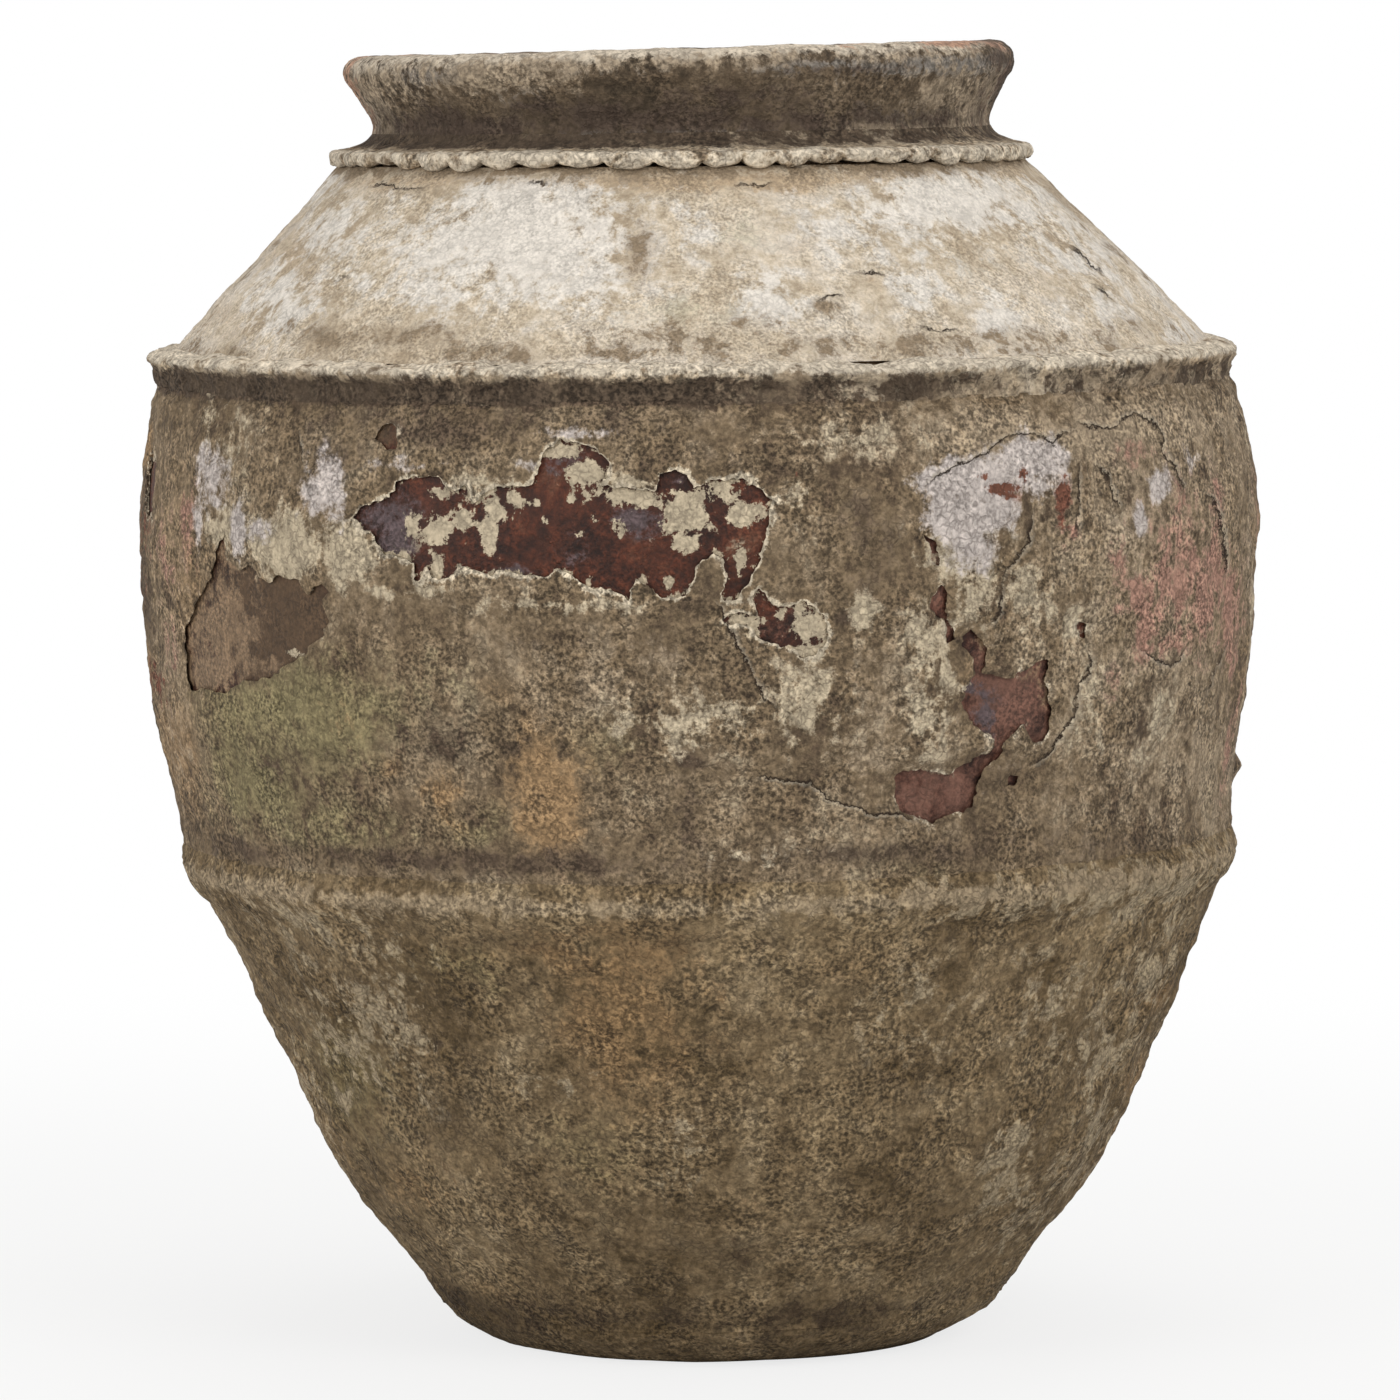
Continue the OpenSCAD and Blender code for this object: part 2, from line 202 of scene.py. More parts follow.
BELLY_STAINS = {
    # Soot; the long low dabs at the top, under the shoulder strap, are painted shade as well as dirt, and the long
    # low dabs just above the lower strap darken the coat along it
    "soot_and_shade": [
        (-158, 672, 63, 14, 0.7), (-56, 677, 42, 12, 0.45), (-234, 675, 28, 14, 0.4),
        (-7, 448, 10, 7, 0.9), (-10, 407, 12, 40, 0.5), (-73, 496, 28, 21, 0.4),
        (-183, 460, 35, 28, 0.5), (-107, 530, 42, 14, 0.4), (116, 581, 24, 40, 0.5),
        (108, 493, 17, 21, 0.35), (186, 666, 35, 8, 0.3), (203, 425, 42, 21, 0.4),
        (-33, 523, 42, 24, 0.3), (-275, 442, 42, 28, 0.35), (296, 416, 28, 42, 0.3),
        (16, 648, 28, 10, 0.3), (-239, 649, 21, 14, 0.5), (-161, 377, 168, 9, 0.75),
        (131, 379, 140, 9, 0.55), (293, 373, 56, 11, 0.5), (-319, 373, 42, 9, 0.65),
        (97, 541, 7, 5, 0.9), (260, 560, 12, 24, 0.4)],
    "lime": [
        (-6, 475, 42, 21, 0.6), (68, 487, 35, 28, 0.55), (124, 661, 49, 18, 0.45),
        (160, 518, 16, 40, 0.75), (150, 470, 12, 24, 0.6), (246, 533, 28, 30, 0.4),
        (212, 556, 21, 21, 0.6), (48, 535, 21, 12, 0.6), (267, 476, 14, 42, 0.5),
        (-93, 553, 52, 5, 0.6), (-202, 562, 42, 7, 0.55), (-321, 665, 21, 21, 0.5),
        (-323, 600, 16, 14, 0.8), (-279, 590, 30, 20, 0.95), (-240, 585, 22, 20, 0.85),
        (297, 571, 14, 42, 0.5), (36, 378, 42, 12, 0.3), (311, 457, 28, 42, 0.35),
        (-130, 549, 30, 12, 0.35), (-275, 530, 5, 5, 0.5), (112, 546, 8, 14, 0.75),
        (175, 590, 26, 30, 0.75), (190, 560, 20, 26, 0.6), (-40, 636, 22, 5, 0.8),
        (-150, 637, 30, 5, 0.5), (70, 618, 10, 20, 0.35)],
    "rust": [
        (-105, 428, 24, 49, 0.85), (-171, 419, 17, 21, 0.6), (-204, 439, 14, 14, 0.45),
        (-362, 560, 26, 90, 0.5), (-372, 440, 20, 60, 0.7), (-246, 471, 17, 21, 0.3),
        (-134, 496, 14, 11, 0.35), (-57, 393, 21, 7, 0.3), (372, 560, 16, 80, 0.45),
        (180, 505, 10, 20, 0.4)],
    "moss": [
        (-274, 470, 77, 40, 0.8), (-306, 424, 42, 42, 0.7), (-189, 494, 42, 28, 0.4),
        (-67, 462, 42, 28, 0.35), (-258, 393, 56, 21, 0.6), (-152, 399, 42, 21, 0.4),
        (131, 374, 42, 14, 0.3)],
    "bloom": [
        (190, 634, 34, 17, 1), (226, 645, 26, 16, 1), (175, 610, 22, 18, 0.95),
        (200, 615, 26, 14, 0.85), (186, 588, 18, 20, 0.7), (236, 627, 18, 12, 0.6),
        (-251, 626, 17, 22, 0.8), (-200, 645, 28, 6, 0.5), (-112, 648, 10, 6, 0.6),
        (-83, 668, 24, 5, 0.7), (343, 636, 9, 11, 0.5), (320, 619, 7, 13, 0.9),
        (306, 598, 5, 13, 0.8), (-334, 631, 13, 21, 0.7), (-315, 598, 6, 20, 0.8),
        (-345, 600, 5, 24, 0.7), (-298, 600, 16, 9, 0.5)],
    "worn": [
        (334, 567, 26, 40, 0.75), (311, 535, 18, 26, 0.95), (352, 545, 16, 38, 0.85),
        (293, 560, 10, 24, 0.6), (340, 512, 20, 12, 0.7), (305, 645, 13, 8, 0.5),
        (209, 627, 12, 5, 0.95), (216, 620, 9, 4, 0.9), (249, 614, 5, 16, 0.9),
        (-351, 602, 6, 26, 0.7), (-372, 545, 8, 60, 0.3), (362, 604, 8, 20, 0.4),
        (252, 594, 8, 8, 0.6), (376, 520, 9, 40, 0.8), (285, 482, 6, 14, 0.3)],
    # Pale patches, most of them on the right: partly real bleaching, partly painted light from the right
    "sunned_and_lit": [
        (320, 560, 80, 150, 0.66), (250, 660, 150, 26, 0.85), (330, 430, 60, 60, 0.6),
        (255, 600, 40, 40, 0.55), (255, 500, 60, 60, 0.5), (-60, 500, 60, 30, 0.4),
        (130, 470, 50, 60, 0.4), (-372, 500, 20, 120, 0.5)],
    "chips": [
        (209, 627, 10, 4, 0.9), (214, 621, 6, 3, 0.9), (249, 612, 5, 14, 0.95),
        (196, 634, 4, 3, 0.8), (222, 634, 4, 3, 0.7), (68, 640, 3, 3, 0.6)],
}
LOWER_STAINS = {
    "rust": [
        (-60, 273, 49, 77, 0.75), (-105, 316, 42, 20, 0.55), (-9, 322, 42, 14, 0.4),
        (-213, 137, 42, 35, 0.35), (98, 305, 42, 18, 0.35), (-256, 269, 28, 42, 0.25),
        (-173, 50, 42, 21, 0.35), (194, 268, 35, 35, 0.3), (20, 120, 50, 30, 0.25)],
    "lime": [
        (266, 178, 21, 77, 0.55), (237, 262, 42, 35, 0.4), (201, 129, 17, 63, 0.5),
        (138, 266, 42, 42, 0.25), (304, 264, 21, 42, 0.5), (-30, 171, 28, 42, 0.25),
        (109, 263, 2.5, 2.5, 1), (-111, 221, 28, 21, 0.25), (-217, 310, 28, 14, 0.35),
        (240, 110, 20, 40, 0.4), (320, 300, 20, 30, 0.5), (290, 340, 90, 16, 0.75),
        (170, 345, 50, 12, 0.55), (-250, 255, 44, 60, 0.5), (-285, 330, 50, 14, 0.5)],
    "soot_and_shade": [
        (-195, 243, 3.5, 4.5, 1), (-225, 197, 56, 49, 0.4), (-160, 36, 84, 18, 0.6),
        (53, 36, 112, 16, 0.6), (-269, 298, 42, 32, 0.35), (-3, 102, 56, 28, 0.3),
        (168, 38, 42, 20, 0.5), (108, 201, 35, 42, 0.3), (-121, 131, 42, 35, 0.3),
        (-20, 322, 380, 6, 0.35)],
    "moss": [(-261, 207, 42, 56, 0.55), (-85, 170, 42, 42, 0.35), (-182, 305, 42, 20, 0.4)],
}
# What shows inside the flakes: remains of lime, a dull bloom of salts, and sandy bare clay
SLIP_STAINS = {
    "lime": [
        (-132, 617, 7, 8, 1), (-138, 602, 6, 12, 1), (-110, 623, 6, 4, 1),
        (-102, 611, 3, 5, 0.9), (-83, 624, 4, 3, 0.9), (-68, 612, 4, 3, 0.8),
        (-75, 601, 5, 3, 0.8), (-54, 604, 6, 5, 0.7), (-4, 613, 17, 17, 1),
        (-7, 595, 10, 7, 1), (30, 613, 12, 7, 0.9), (29, 581, 3, 8, 0.9),
        (10, 626, 13, 8, 1), (-48, 627, 24, 6, 1), (-70, 641, 12, 9, 1),
        (-92, 658, 14, 6, 1), (-172, 601, 10, 9, 1), (-156, 611, 7, 7, 1),
        (-192, 608, 5, 7, 0.9), (-173, 629, 10, 5, 1), (-205, 582, 13, 4, 1),
        (-176, 582, 6, 10, 0.8), (-37, 569, 6, 6, 1), (-20, 569, 4, 4, 0.8),
        (-72, 571, 4, 3, 0.8), (-122, 624, 6, 6, 0.8), (73, 535, 12, 10, 0.95),
        (34, 543, 10, 6, 1), (54, 545, 4, 4, 0.9), (70, 521, 20, 4, 1),
        (-312, 578, 12, 8, 0.9), (-264, 560, 5, 4, 0.9), (-278, 515, 6, 4, 0.7)],
    "earth": [
        (-290, 535, 60, 48, 1.3), (-212, 668, 12, 10, 1)],
    "dull": [
        (215, 482, 44, 44, 0.9), (165, 420, 60, 34, 0.7), (165, 560, 20, 50, 0.7),
        (60, 535, 30, 20, 0.4)],
    "haze": [
        (-210, 610, 17, 13, 0.9), (-206, 594, 12, 10, 0.8), (-73, 591, 12, 10, 0.6),
        (-124, 576, 10, 4, 0.9), (-39, 611, 15, 8, 0.8), (-90, 653, 15, 8, 0.6),
        (-8, 637, 10, 6, 0.5), (191, 471, 11, 13, 0.8), (184, 491, 7, 9, 0.5)],
    "sand": [
        (-333, 530, 22, 36, 1), (-342, 496, 24, 14, 1), (-306, 532, 7, 10, 0.7),
        (-320, 574, 12, 14, 0.9), (-300, 505, 16, 8, 0.6), (248, 489, 13, 20, 0.9), (236, 500, 12, 8, 0.6),
        (192, 522, 7, 9, 0.6)],
}
# How rough the outside is at each height: broad swells, lumps and crumbs, in mm
SWELLS = ([0, 330, 400, 680, 720, 925], [3.0, 3.0, 2.4, 2.4, 1.8, 1.5])
LUMPS = ([0, 300, 345, 400, 660, 688, 704, 716, 760, 925],
         [2.0, 2.4, 2.6, 1.5, 1.5, 3.2, 3.0, 1.6, 1.0, 1.3])
CRUMBS = ([0, 320, 345, 380, 670, 688, 703, 713, 760, 925],
          [0.8, 1.0, 1.3, 0.9, 0.9, 2.6, 2.4, 1.5, 0.6, 0.8])


# ------------------------------------------------------------------ shaping
def curve(line, heights):
    """Radius at each height on a smooth line through (height, radius) points."""
    h, r = np.array(line, float).T
    heights = np.asarray(heights, float)
    slope = np.gradient(r, h)
    i = np.clip(np.searchsorted(h, heights) - 1, 0, len(h) - 2)
    step = h[i + 1] - h[i]
    t = np.clip((heights - h[i]) / step, 0, 1)
    return ((1 + 2 * t) * (1 - t) ** 2 * r[i] + t * (1 - t) ** 2 * step * slope[i]
            + t * t * (3 - 2 * t) * r[i + 1] + t * t * (t - 1) * step * slope[i + 1])


def edit(*steps):
    """Runs edit-mode operators on the active piece, all of it selected."""
    bpy.ops.object.mode_set(mode="EDIT")
    bpy.ops.mesh.select_all(action="SELECT")
    for operator, settings in steps:
        operator(**settings)
    bpy.ops.object.mode_set(mode="OBJECT")


def ring(name, places):
    """A closed loop of edges through places in metres, ready to spin or fill."""
    bpy.ops.object.select_all(action="DESELECT")
    bpy.ops.mesh.primitive_circle_add(vertices=len(places), radius=1)
    loop = bpy.context.object
    loop.name = loop.data.name = name
    loop.data.vertices.foreach_set("co", np.array(places, float).ravel())
    loop.data.update()
    return loop


DIRECTIONS = np.random.default_rng(4).normal(size=(256, 3))
DIRECTIONS /= np.linalg.norm(DIRECTIONS, axis=1)[:, None]


def noise_at(points):
    """Smooth noise from about -1 to 1 at each of an array of points."""
    cell = np.floor(points).astype(np.int64)
    part = points - cell
    ease = part ** 3 * (part * (part * 6 - 15) + 10)
    total = np.zeros(len(points))
    for corner in itertools.product((0, 1), repeat=3):
        x, y, z = (cell + corner).T
        key = x * 73856093 ^ y * 19349663 ^ z * 83492791
        key = (key ^ key >> 15) * 739982445
        way = DIRECTIONS[(key ^ key >> 12) % len(DIRECTIONS)]
        weight = np.where(corner, ease, 1 - ease).prod(1)
        total += weight * ((part - corner) * way).sum(1)
    return 1.6 * total


class Skin:
    """The vertices of a piece on the true jar: radius, angle from the front and height."""

    def __init__(self, piece):
        self.piece = piece
        co = np.empty(len(piece.data.vertices) * 3)
        piece.data.vertices.foreach_get("co", co)
        x, y, z = co.reshape(-1, 3).T
        self.radius, self.angle, self.height = np.hypot(x, y) / MM, np.arctan2(x, -y), z / MM
        self.drift = None

    def put(self):
        """Moves the vertices to their radius, angle and height."""
        co = np.stack([self.radius * np.sin(self.angle), -self.radius * np.cos(self.angle),
                       self.height], 1) * MM
        self.piece.data.vertices.foreach_set("co", co.ravel())
        self.piece.data.update()

    def lumps(self, size, layers=3, shift=0.0, stretch=1.0):
        """Layered noise with lumps of a size in mm, stretched upwards if asked."""
        points = np.stack([self.radius * np.sin(self.angle),
                           -self.radius * np.cos(self.angle), self.height / stretch], 1)
        return sum(noise_at(points / size * 2 ** k + shift + 0.37 + 17.29 * k) / 2 ** k
                   for k in range(layers))

    def weathered(self, face=1.0, deepest=-2.4):
        """Pushes the outer face out and in as the weather has left it."""
        ridges = (np.clip(np.sin(self.angle) * 2 - 0.6, 0, 1)
                  * np.clip((340 - self.height) / 80, 0, 1))
        push = (np.interp(self.height, *SWELLS) * self.lumps(85, 2)
                + np.interp(self.height, *LUMPS) * self.lumps(25, 2, shift=3)
                + np.interp(self.height, *CRUMBS) * self.lumps(8, 2, shift=5)
                + 2.2 * ridges * self.lumps(17, 2, shift=7, stretch=6))
        self.radius += face * np.maximum(push, deepest)

    def dabs(self, dabs, facing=0.0):
        """Strength of a stain from its soft dabs, on the side that faces an angle from the
        front. Noise shifts the dabs about, so that none comes out round."""
        if self.drift is None:
            self.drift = (9 * self.lumps(42, 3, shift=41) + 3 * self.lumps(9, 2, shift=43),
                          8 * self.lumps(38, 3, shift=47) + 3 * self.lumps(9, 2, shift=49))
        x = self.radius * np.sin(self.angle - facing)
        near = np.clip(np.cos(self.angle - facing) * 6, 0, 1)
        value = np.zeros(len(x))
        for across, up, half_w, half_h, strength in dabs:
            # A small dab is shifted less than a large one, to stay where it belongs.
            share = min(1, min(half_w, half_h) / 22)
            d = (((x + share * self.drift[0] - across) / half_w) ** 2
                 + ((self.height + share * self.drift[1] - up) / half_h) ** 2)
            value = np.maximum(value, strength * np.exp(-0.7 * d))
        return value * near

    def paint(self, name, values):
        """Keeps one number for each vertex, for the piece's material to read."""
        layer = self.piece.data.attributes.new(name, "FLOAT", "POINT")
        layer.data.foreach_set("value", np.asarray(values, np.float32))

    def deepen(self, name, values):
        """Adds to a number that is already painted on, where the new one is greater."""
        layer = self.piece.data.attributes[name]
        kept = np.empty(len(values), np.float32)
        layer.data.foreach_get("value", kept)
        layer.data.foreach_set("value", np.maximum(kept, values).astype(np.float32))

    def stain(self, stains, low, high, seed):
        """Paints the stains: placed ones on the front, strewn ones round the sides and
        back."""
        rng = random.Random(seed)
        for name, dabs in stains.items():
            value = self.dabs(dabs)
            # The bright ones are fewer and fainter, so that the back stays quiet.
            bright = name in ("worn", "bloom", "chips")
            for _ in range(3 if bright else 12):
                facing = math.radians(rng.uniform(80, 280))
                patch = [(rng.uniform(-60, 60), rng.uniform(low, high), rng.uniform(14, 60),
                          rng.uniform(12, 50), rng.uniform(0.3, 0.6 if bright else 0.8))
                         for _ in range(3)]
                value = np.maximum(value, self.dabs(patch, facing))
            self.paint(name, value)

    def cracked(self, cracks):
        """Distance in mm of each vertex from the nearest crack, positive on its left, and
        how strong the crack is there, from 0 past its ends to 1."""
        x, height = self.radius * np.sin(self.angle), self.height
        best, side, strong = np.full(len(x), 60.0), np.ones(len(x)), np.zeros(len(x))
        for crack in cracks:
            points = np.array(crack, float)
            total = np.hypot(*np.diff(points, axis=0).T).sum()
            done = 0.0
            low, high = points.min(0) - 25, points.max(0) + 25
            inside = np.flatnonzero((np.cos(self.angle) > 0.02) & (x > low[0])
                                    & (x < high[0]) & (height > low[1]) & (height < high[1]))
            p = np.stack([x[inside], height[inside]], 1)
            for a, b in zip(points[:-1], points[1:]):
                length = np.hypot(*(b - a))
                way = (b - a) / length
                t = (p - a) @ way
                d = np.hypot(*(p - a - np.clip(t, 0, length)[:, None] * way).T)
                closer = d < best[inside]
                hit = inside[closer]
                best[hit] = d[closer]
                left = way[0] * (p - a)[:, 1] - way[1] * (p - a)[:, 0]
                side[hit] = np.where(left[closer] >= 0, 1, -1)
                run = done + t[closer]
                strong[hit] = np.clip(np.minimum(run, total - run) / 9 + 0.15, 0, 1)
                done += length
        return best * side, strong * np.clip((24 - best) / 8, 0, 1)

    def from_edges(self, outlines):
        """Distance in mm of each vertex from the nearest flake's edge, up to 40, and how
        much lime that edge keeps."""
        best, lime = np.full(len(self.radius), 40.0), np.zeros(len(self.radius))
        for outline, facing, margin in outlines:
            x = self.radius * np.sin(self.angle - facing)
            points = np.array([p[:2] for p in outline], float)
            low, high = points.min(0) - 40, points.max(0) + 40
            inside = np.flatnonzero(
                (np.cos(self.angle - facing) > 0.02) & (x > low[0]) & (x < high[0])
                & (self.height > low[1]) & (self.height < high[1]))
            for part in np.array_split(inside, len(inside) // 4000 + 1):
                d = np.hypot(x[part, None] - points[:, 0],
                             self.height[part, None] - points[:, 1]).min(1)
                lime[part] = np.where(d < best[part], margin, lime[part])
                best[part] = np.minimum(best[part], d)
        return best, lime


def spun(name, section, columns, crowd=0.35):
    """A piece turned round the axis from a closed section of (radius, height). Its columns
    are crowded towards the front, where the jar is looked at from closest."""
    piece = ring(name, [(0, -r * MM, h * MM) for r, h in section])
    edit((bpy.ops.mesh.spin, dict(steps=columns, angle=2 * math.pi, center=(0, 0, 0),
                                  axis=(0, 0, 1))),
         (bpy.ops.mesh.select_all, dict(action="SELECT")),
         (bpy.ops.mesh.remove_doubles, dict(threshold=0.00002)),
         (bpy.ops.mesh.normals_make_consistent, dict(inside=False)))
    skin = Skin(piece)
    skin.angle -= crowd * np.sin(skin.angle)
    skin.put()
    return piece


def finish_piece(piece, node, material, crease=55):
    """Carries a piece from the true jar to the real one, a little out of round where it was
    pressed, swayed, dipping to the right and leaning. It then stands in for its CAD node."""
    skin = Skin(piece)
    radius, angle, height = skin.radius, skin.angle, skin.height
    pressed = 2.2 * np.cos(angle) * np.sin(2.3 * angle + height / 170)
    radius = radius + pressed * np.clip(height / 120, 0, 1) * np.clip((860 - height) / 60, 0, 1)
    x, y, z = radius * np.sin(angle), -radius * np.cos(angle), height.copy()
    z -= x * np.tan(np.radians(np.interp(height, *LEVEL)))
    x += np.interp(height, *SWAY)
    x, z = x * math.cos(LEAN) - z * math.sin(LEAN), x * math.sin(LEAN) + z * math.cos(LEAN)
    z[height < 0.5] = 0
    co = np.stack([x, y, np.maximum(z, 0)], 1) * MM
    piece.data.vertices.foreach_set("co", co.ravel())
    piece.data.update()
    bpy.ops.object.select_all(action="DESELECT")
    piece.select_set(True)
    bpy.context.view_layer.objects.active = piece
    bpy.ops.object.shade_smooth_by_angle(angle=math.radians(crease))
    piece.data.materials.clear()
    piece.data.materials.append(material)
    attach(piece, "root")
    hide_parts(node)


def ragged(outline, seed, spacing=1.5, rag=2.6):
    """An outline with its sides broken up as a flake breaks, in bites of three sizes."""
    shift = Vector((seed * 3.7, seed * 5.1, 0))
    points = []
    for a, b in zip(outline, outline[1:] + outline[:1]):
        a, b = Vector((*a, 0)), Vector((*b, 0))
        steps = max(1, round((b - a).length / spacing))
        points += [a.lerp(b, i / steps) for i in range(steps)]
    points = [(p * 2 + points[i - 1] + points[(i + 1) % len(points)]) / 4
              for i, p in enumerate(points)]
    return [p + noise.noise_vector(p / 10 + shift) * rag
            + noise.noise_vector(p / 4.5 + shift) * rag * 0.7
            + noise.noise_vector(p / 2.4 + shift) * rag * 0.3 for p in points]


def flake_off(coat, outline, facing=0.0):
    """Breaks the coat away inside an outline that faces an angle from the front."""
    near, far = -150 * MM, -480 * MM
    tool = ring("flake_tool", [(p.x * MM, near, p.y * MM) for p in outline])
    edit((bpy.ops.mesh.edge_face_add, {}),
         (bpy.ops.mesh.extrude_region_move,
          dict(TRANSFORM_OT_translate={"value": (0, far - near, 0)})),
         (bpy.ops.mesh.select_all, dict(action="SELECT")),
         (bpy.ops.mesh.normals_make_consistent, dict(inside=False)))
    skin = Skin(tool)
    skin.angle += facing
    skin.put()
    cut = coat.modifiers.new("flake", "BOOLEAN")
    cut.operation, cut.solver, cut.object = "DIFFERENCE", "MANIFOLD", tool
    bpy.ops.object.select_all(action="DESELECT")
    coat.select_set(True)
    bpy.context.view_layer.objects.active = coat
    bpy.ops.object.modifier_apply(modifier=cut.name)
    bpy.data.objects.remove(tool)


def coat_section(clay, low, high, rows, back_rows, gain=1.0):
    """Closed section of a coat on the clay; gain is its level thickness over its real one."""
    up = np.linspace(low, high, rows)
    outer = list(zip(curve(clay, up) + (GAP + COAT) * gain, up))
    down = np.linspace(high, low, back_rows)
    return outer + list(zip(curve(clay, down) + GAP * gain, down))


def outer_face(skin, clay, gain=1.0):
    """1 on a coat's outer face, 0 on its inner one."""
    return np.clip((skin.radius - curve(clay, skin.height) - GAP * gain - 0.2)
                   / (1.2 * gain), 0, 1)


# ------------------------------------------------------------------ materials
def paint(code):
    """Linear colour of an sRGB hex value."""
    parts = [int(code[i:i + 2], 16) / 255 for i in (1, 3, 5)]
    return tuple(c / 12.92 if c <= 0.04045 else ((c + 0.055) / 1.055) ** 2.4
                 for c in parts) + (1.0,)


def add(tree, kind, sockets=None, out=0, stops=None, **settings):
    """Adds a node, sets it, fills or links its inputs, and returns one of its outputs."""
    node = tree.nodes.new("ShaderNode" + kind)
    for name, value in settings.items():
        setattr(node, name, value)
    for key, value in (sockets or {}).items():
        if isinstance(value, bpy.types.NodeSocket):
            tree.links.new(value, node.inputs[key])
        else:
            node.inputs[key].default_value = value
    if stops:
        ramp = node.color_ramp.elements
        while len(ramp) < len(stops):
            ramp.new(0.5)
        for element, (position, code) in zip(ramp, stops):
            element.position, element.color = position, paint(code)
    return node.outputs[out] if len(node.outputs) else node


def blank(name):
    """A new material with no nodes in it."""
    made = bpy.data.materials.new(name)
    made.use_nodes = True
    made.node_tree.nodes.clear()
    return made, made.node_tree


def crust(name, tones, stains, grain=3.0, depth=1.0, contrast=1.0, roughness=0.92,
          cracks=False, pitting=0.4, patch=110.0):
    """Sandy, weathered crust on fired clay. tones runs from its dark patches to its pale
    ones; stains are (painted name, colour, how far noise breaks its edge, softness of the
    edge). grain is the size in mm of its sand, drawn coarse enough to show from 5 m."""
    made, tree = blank(name)
    spot = add(tree, "TexCoord", out=3)

    def noise_of(size, detail, rough, vector=spot, twist=0.0):
        return add(tree, "TexNoise", {"Vector": vector, "Scale": 1000 / size,
                                      "Detail": detail, "Roughness": rough,
                                      "Distortion": twist})

    def sum_of(*parts):
        total = None
        for value, weight in parts:
            part = add(tree, "Math", {0: value, 1: weight}, operation="MULTIPLY")
            total = part if total is None else add(tree, "Math", {0: total, 1: part})
        return total

    def between(value, low, high, to_low=0.0, to_high=1.0, clamp=True, smooth=False):
        return add(tree, "MapRange", {0: value, 1: low, 2: high, 3: to_low, 4: to_high},
                   clamp=clamp, interpolation_type="SMOOTHSTEP" if smooth else "LINEAR")

    def mixed(share, first, second, way="MIX"):
        return add(tree, "Mix", {0: share, 6: first, 7: second}, out=2, data_type="RGBA",
                   blend_type=way)

    broad = noise_of(patch, 5, 0.65, twist=0.6)
    mottle = noise_of(26, 6, 0.72, twist=0.4)
    clumps = noise_of(9, 4, 0.75)
    sand = noise_of(grain, 1.5, 0.6)
    upright = add(tree, "Mapping", {"Vector": spot, "Scale": (1, 1, 0.15)})
    runs = noise_of(16, 4, 0.65, vector=upright)
    sandy = between(noise_of(46, 3, 0.6), 0.42, 0.57, 0.3, 1.0)
    # Fine crackle round crumbs about 6 mm across, painted dark as the shade in the gaps between them
    shaken = add(tree, "VectorMath", {
        0: add(tree, "TexNoise", {"Vector": spot, "Scale": 1000 / 7, "Detail": 2}, out=1),
        1: (0.010, 0.010, 0.010), 2: spot}, operation="MULTIPLY_ADD")
    crackle = add(tree, "TexVoronoi", {"Vector": shaken, "Scale": 1000 / 6},
                  feature="DISTANCE_TO_EDGE")
    crackle = add(tree, "Math", {0: between(crackle, 0.03, 0.17, 0.5 * contrast, 0.0),
                                 1: between(mottle, 0.45, 0.55)}, operation="MULTIPLY")
    tone = sum_of((broad, 0.36), (mottle, 0.34), (runs, 0.14), (clumps, 0.16))
    colour = add(tree, "ValToRGB", {"Fac": tone}, stops=tones)
    broken = between(sum_of((mottle, 0.5), (clumps, 0.3), (runs, 0.2)), 0.42, 0.58,
                     -0.5, 0.5, clamp=False)
    height = sum_of((mottle, 1.2), (clumps, 1.6 * depth))
    for stain_name, code, how_broken, soft in stains:
        amount = add(tree, "Attribute", out=2, attribute_name=stain_name)
        ragged_amount = add(tree, "Math", {0: broken, 1: how_broken, 2: amount},
                            operation="MULTIPLY_ADD")
        held = between(ragged_amount, 0.5 - soft, 0.5 + soft, smooth=True)
        # No stain where none is painted, however strong the noise is
        held = add(tree, "Math", {0: held, 1: between(amount, 0.02, 0.2)},
                   operation="MULTIPLY")
        colour = mixed(held, colour, paint(code))
        if stain_name in ("lime", "bloom"):
            height = add(tree, "Math", {0: held, 1: 0.5, 2: height},
                         operation="MULTIPLY_ADD")
            # Lime and salts lie smoother than the sand under them
            sandy = add(tree, "Math", {0: sandy, 1: between(held, 0.0, 1.0, 1.0, 0.5)},
                        operation="MULTIPLY")
    # Painted shade and light that follow the bump: the sand and the clumps darken the colour in their hollows and
    # lighten it on their tops, over the grain's own speckle
    colour = mixed(sandy, colour, between(sand, 0.38, 0.62, 1 - 0.7 * contrast,
                                          1 + 0.7 * contrast), "MULTIPLY")
    colour = mixed(1.0, colour, between(clumps, 0.36, 0.64, 1 - 0.34 * contrast,
                                        1 + 0.34 * contrast), "MULTIPLY")
    # Pits in one cell of five, painted dark as the shade in them
    cells = tree.nodes.new("ShaderNodeTexVoronoi")
    cells.inputs["Scale"].default_value = 1000 / 13
    tree.links.new(spot, cells.inputs["Vector"])
    near = between(sum_of((cells.outputs["Distance"], 1.0), (clumps, -0.5)), -0.17, -0.08,
                   1.0, 0.0)
    few = add(tree, "Math", {0: add(tree, "SeparateColor", {0: cells.outputs["Color"]}),
                             1: 0.8}, operation="GREATER_THAN")
    holes = add(tree, "Math", {0: near, 1: few}, operation="MULTIPLY")
    dark = add(tree, "Math", {0: add(tree, "Math", {0: holes, 1: pitting},
                                     operation="MULTIPLY"),
                              1: crackle}, operation="MAXIMUM")
    if cracks:
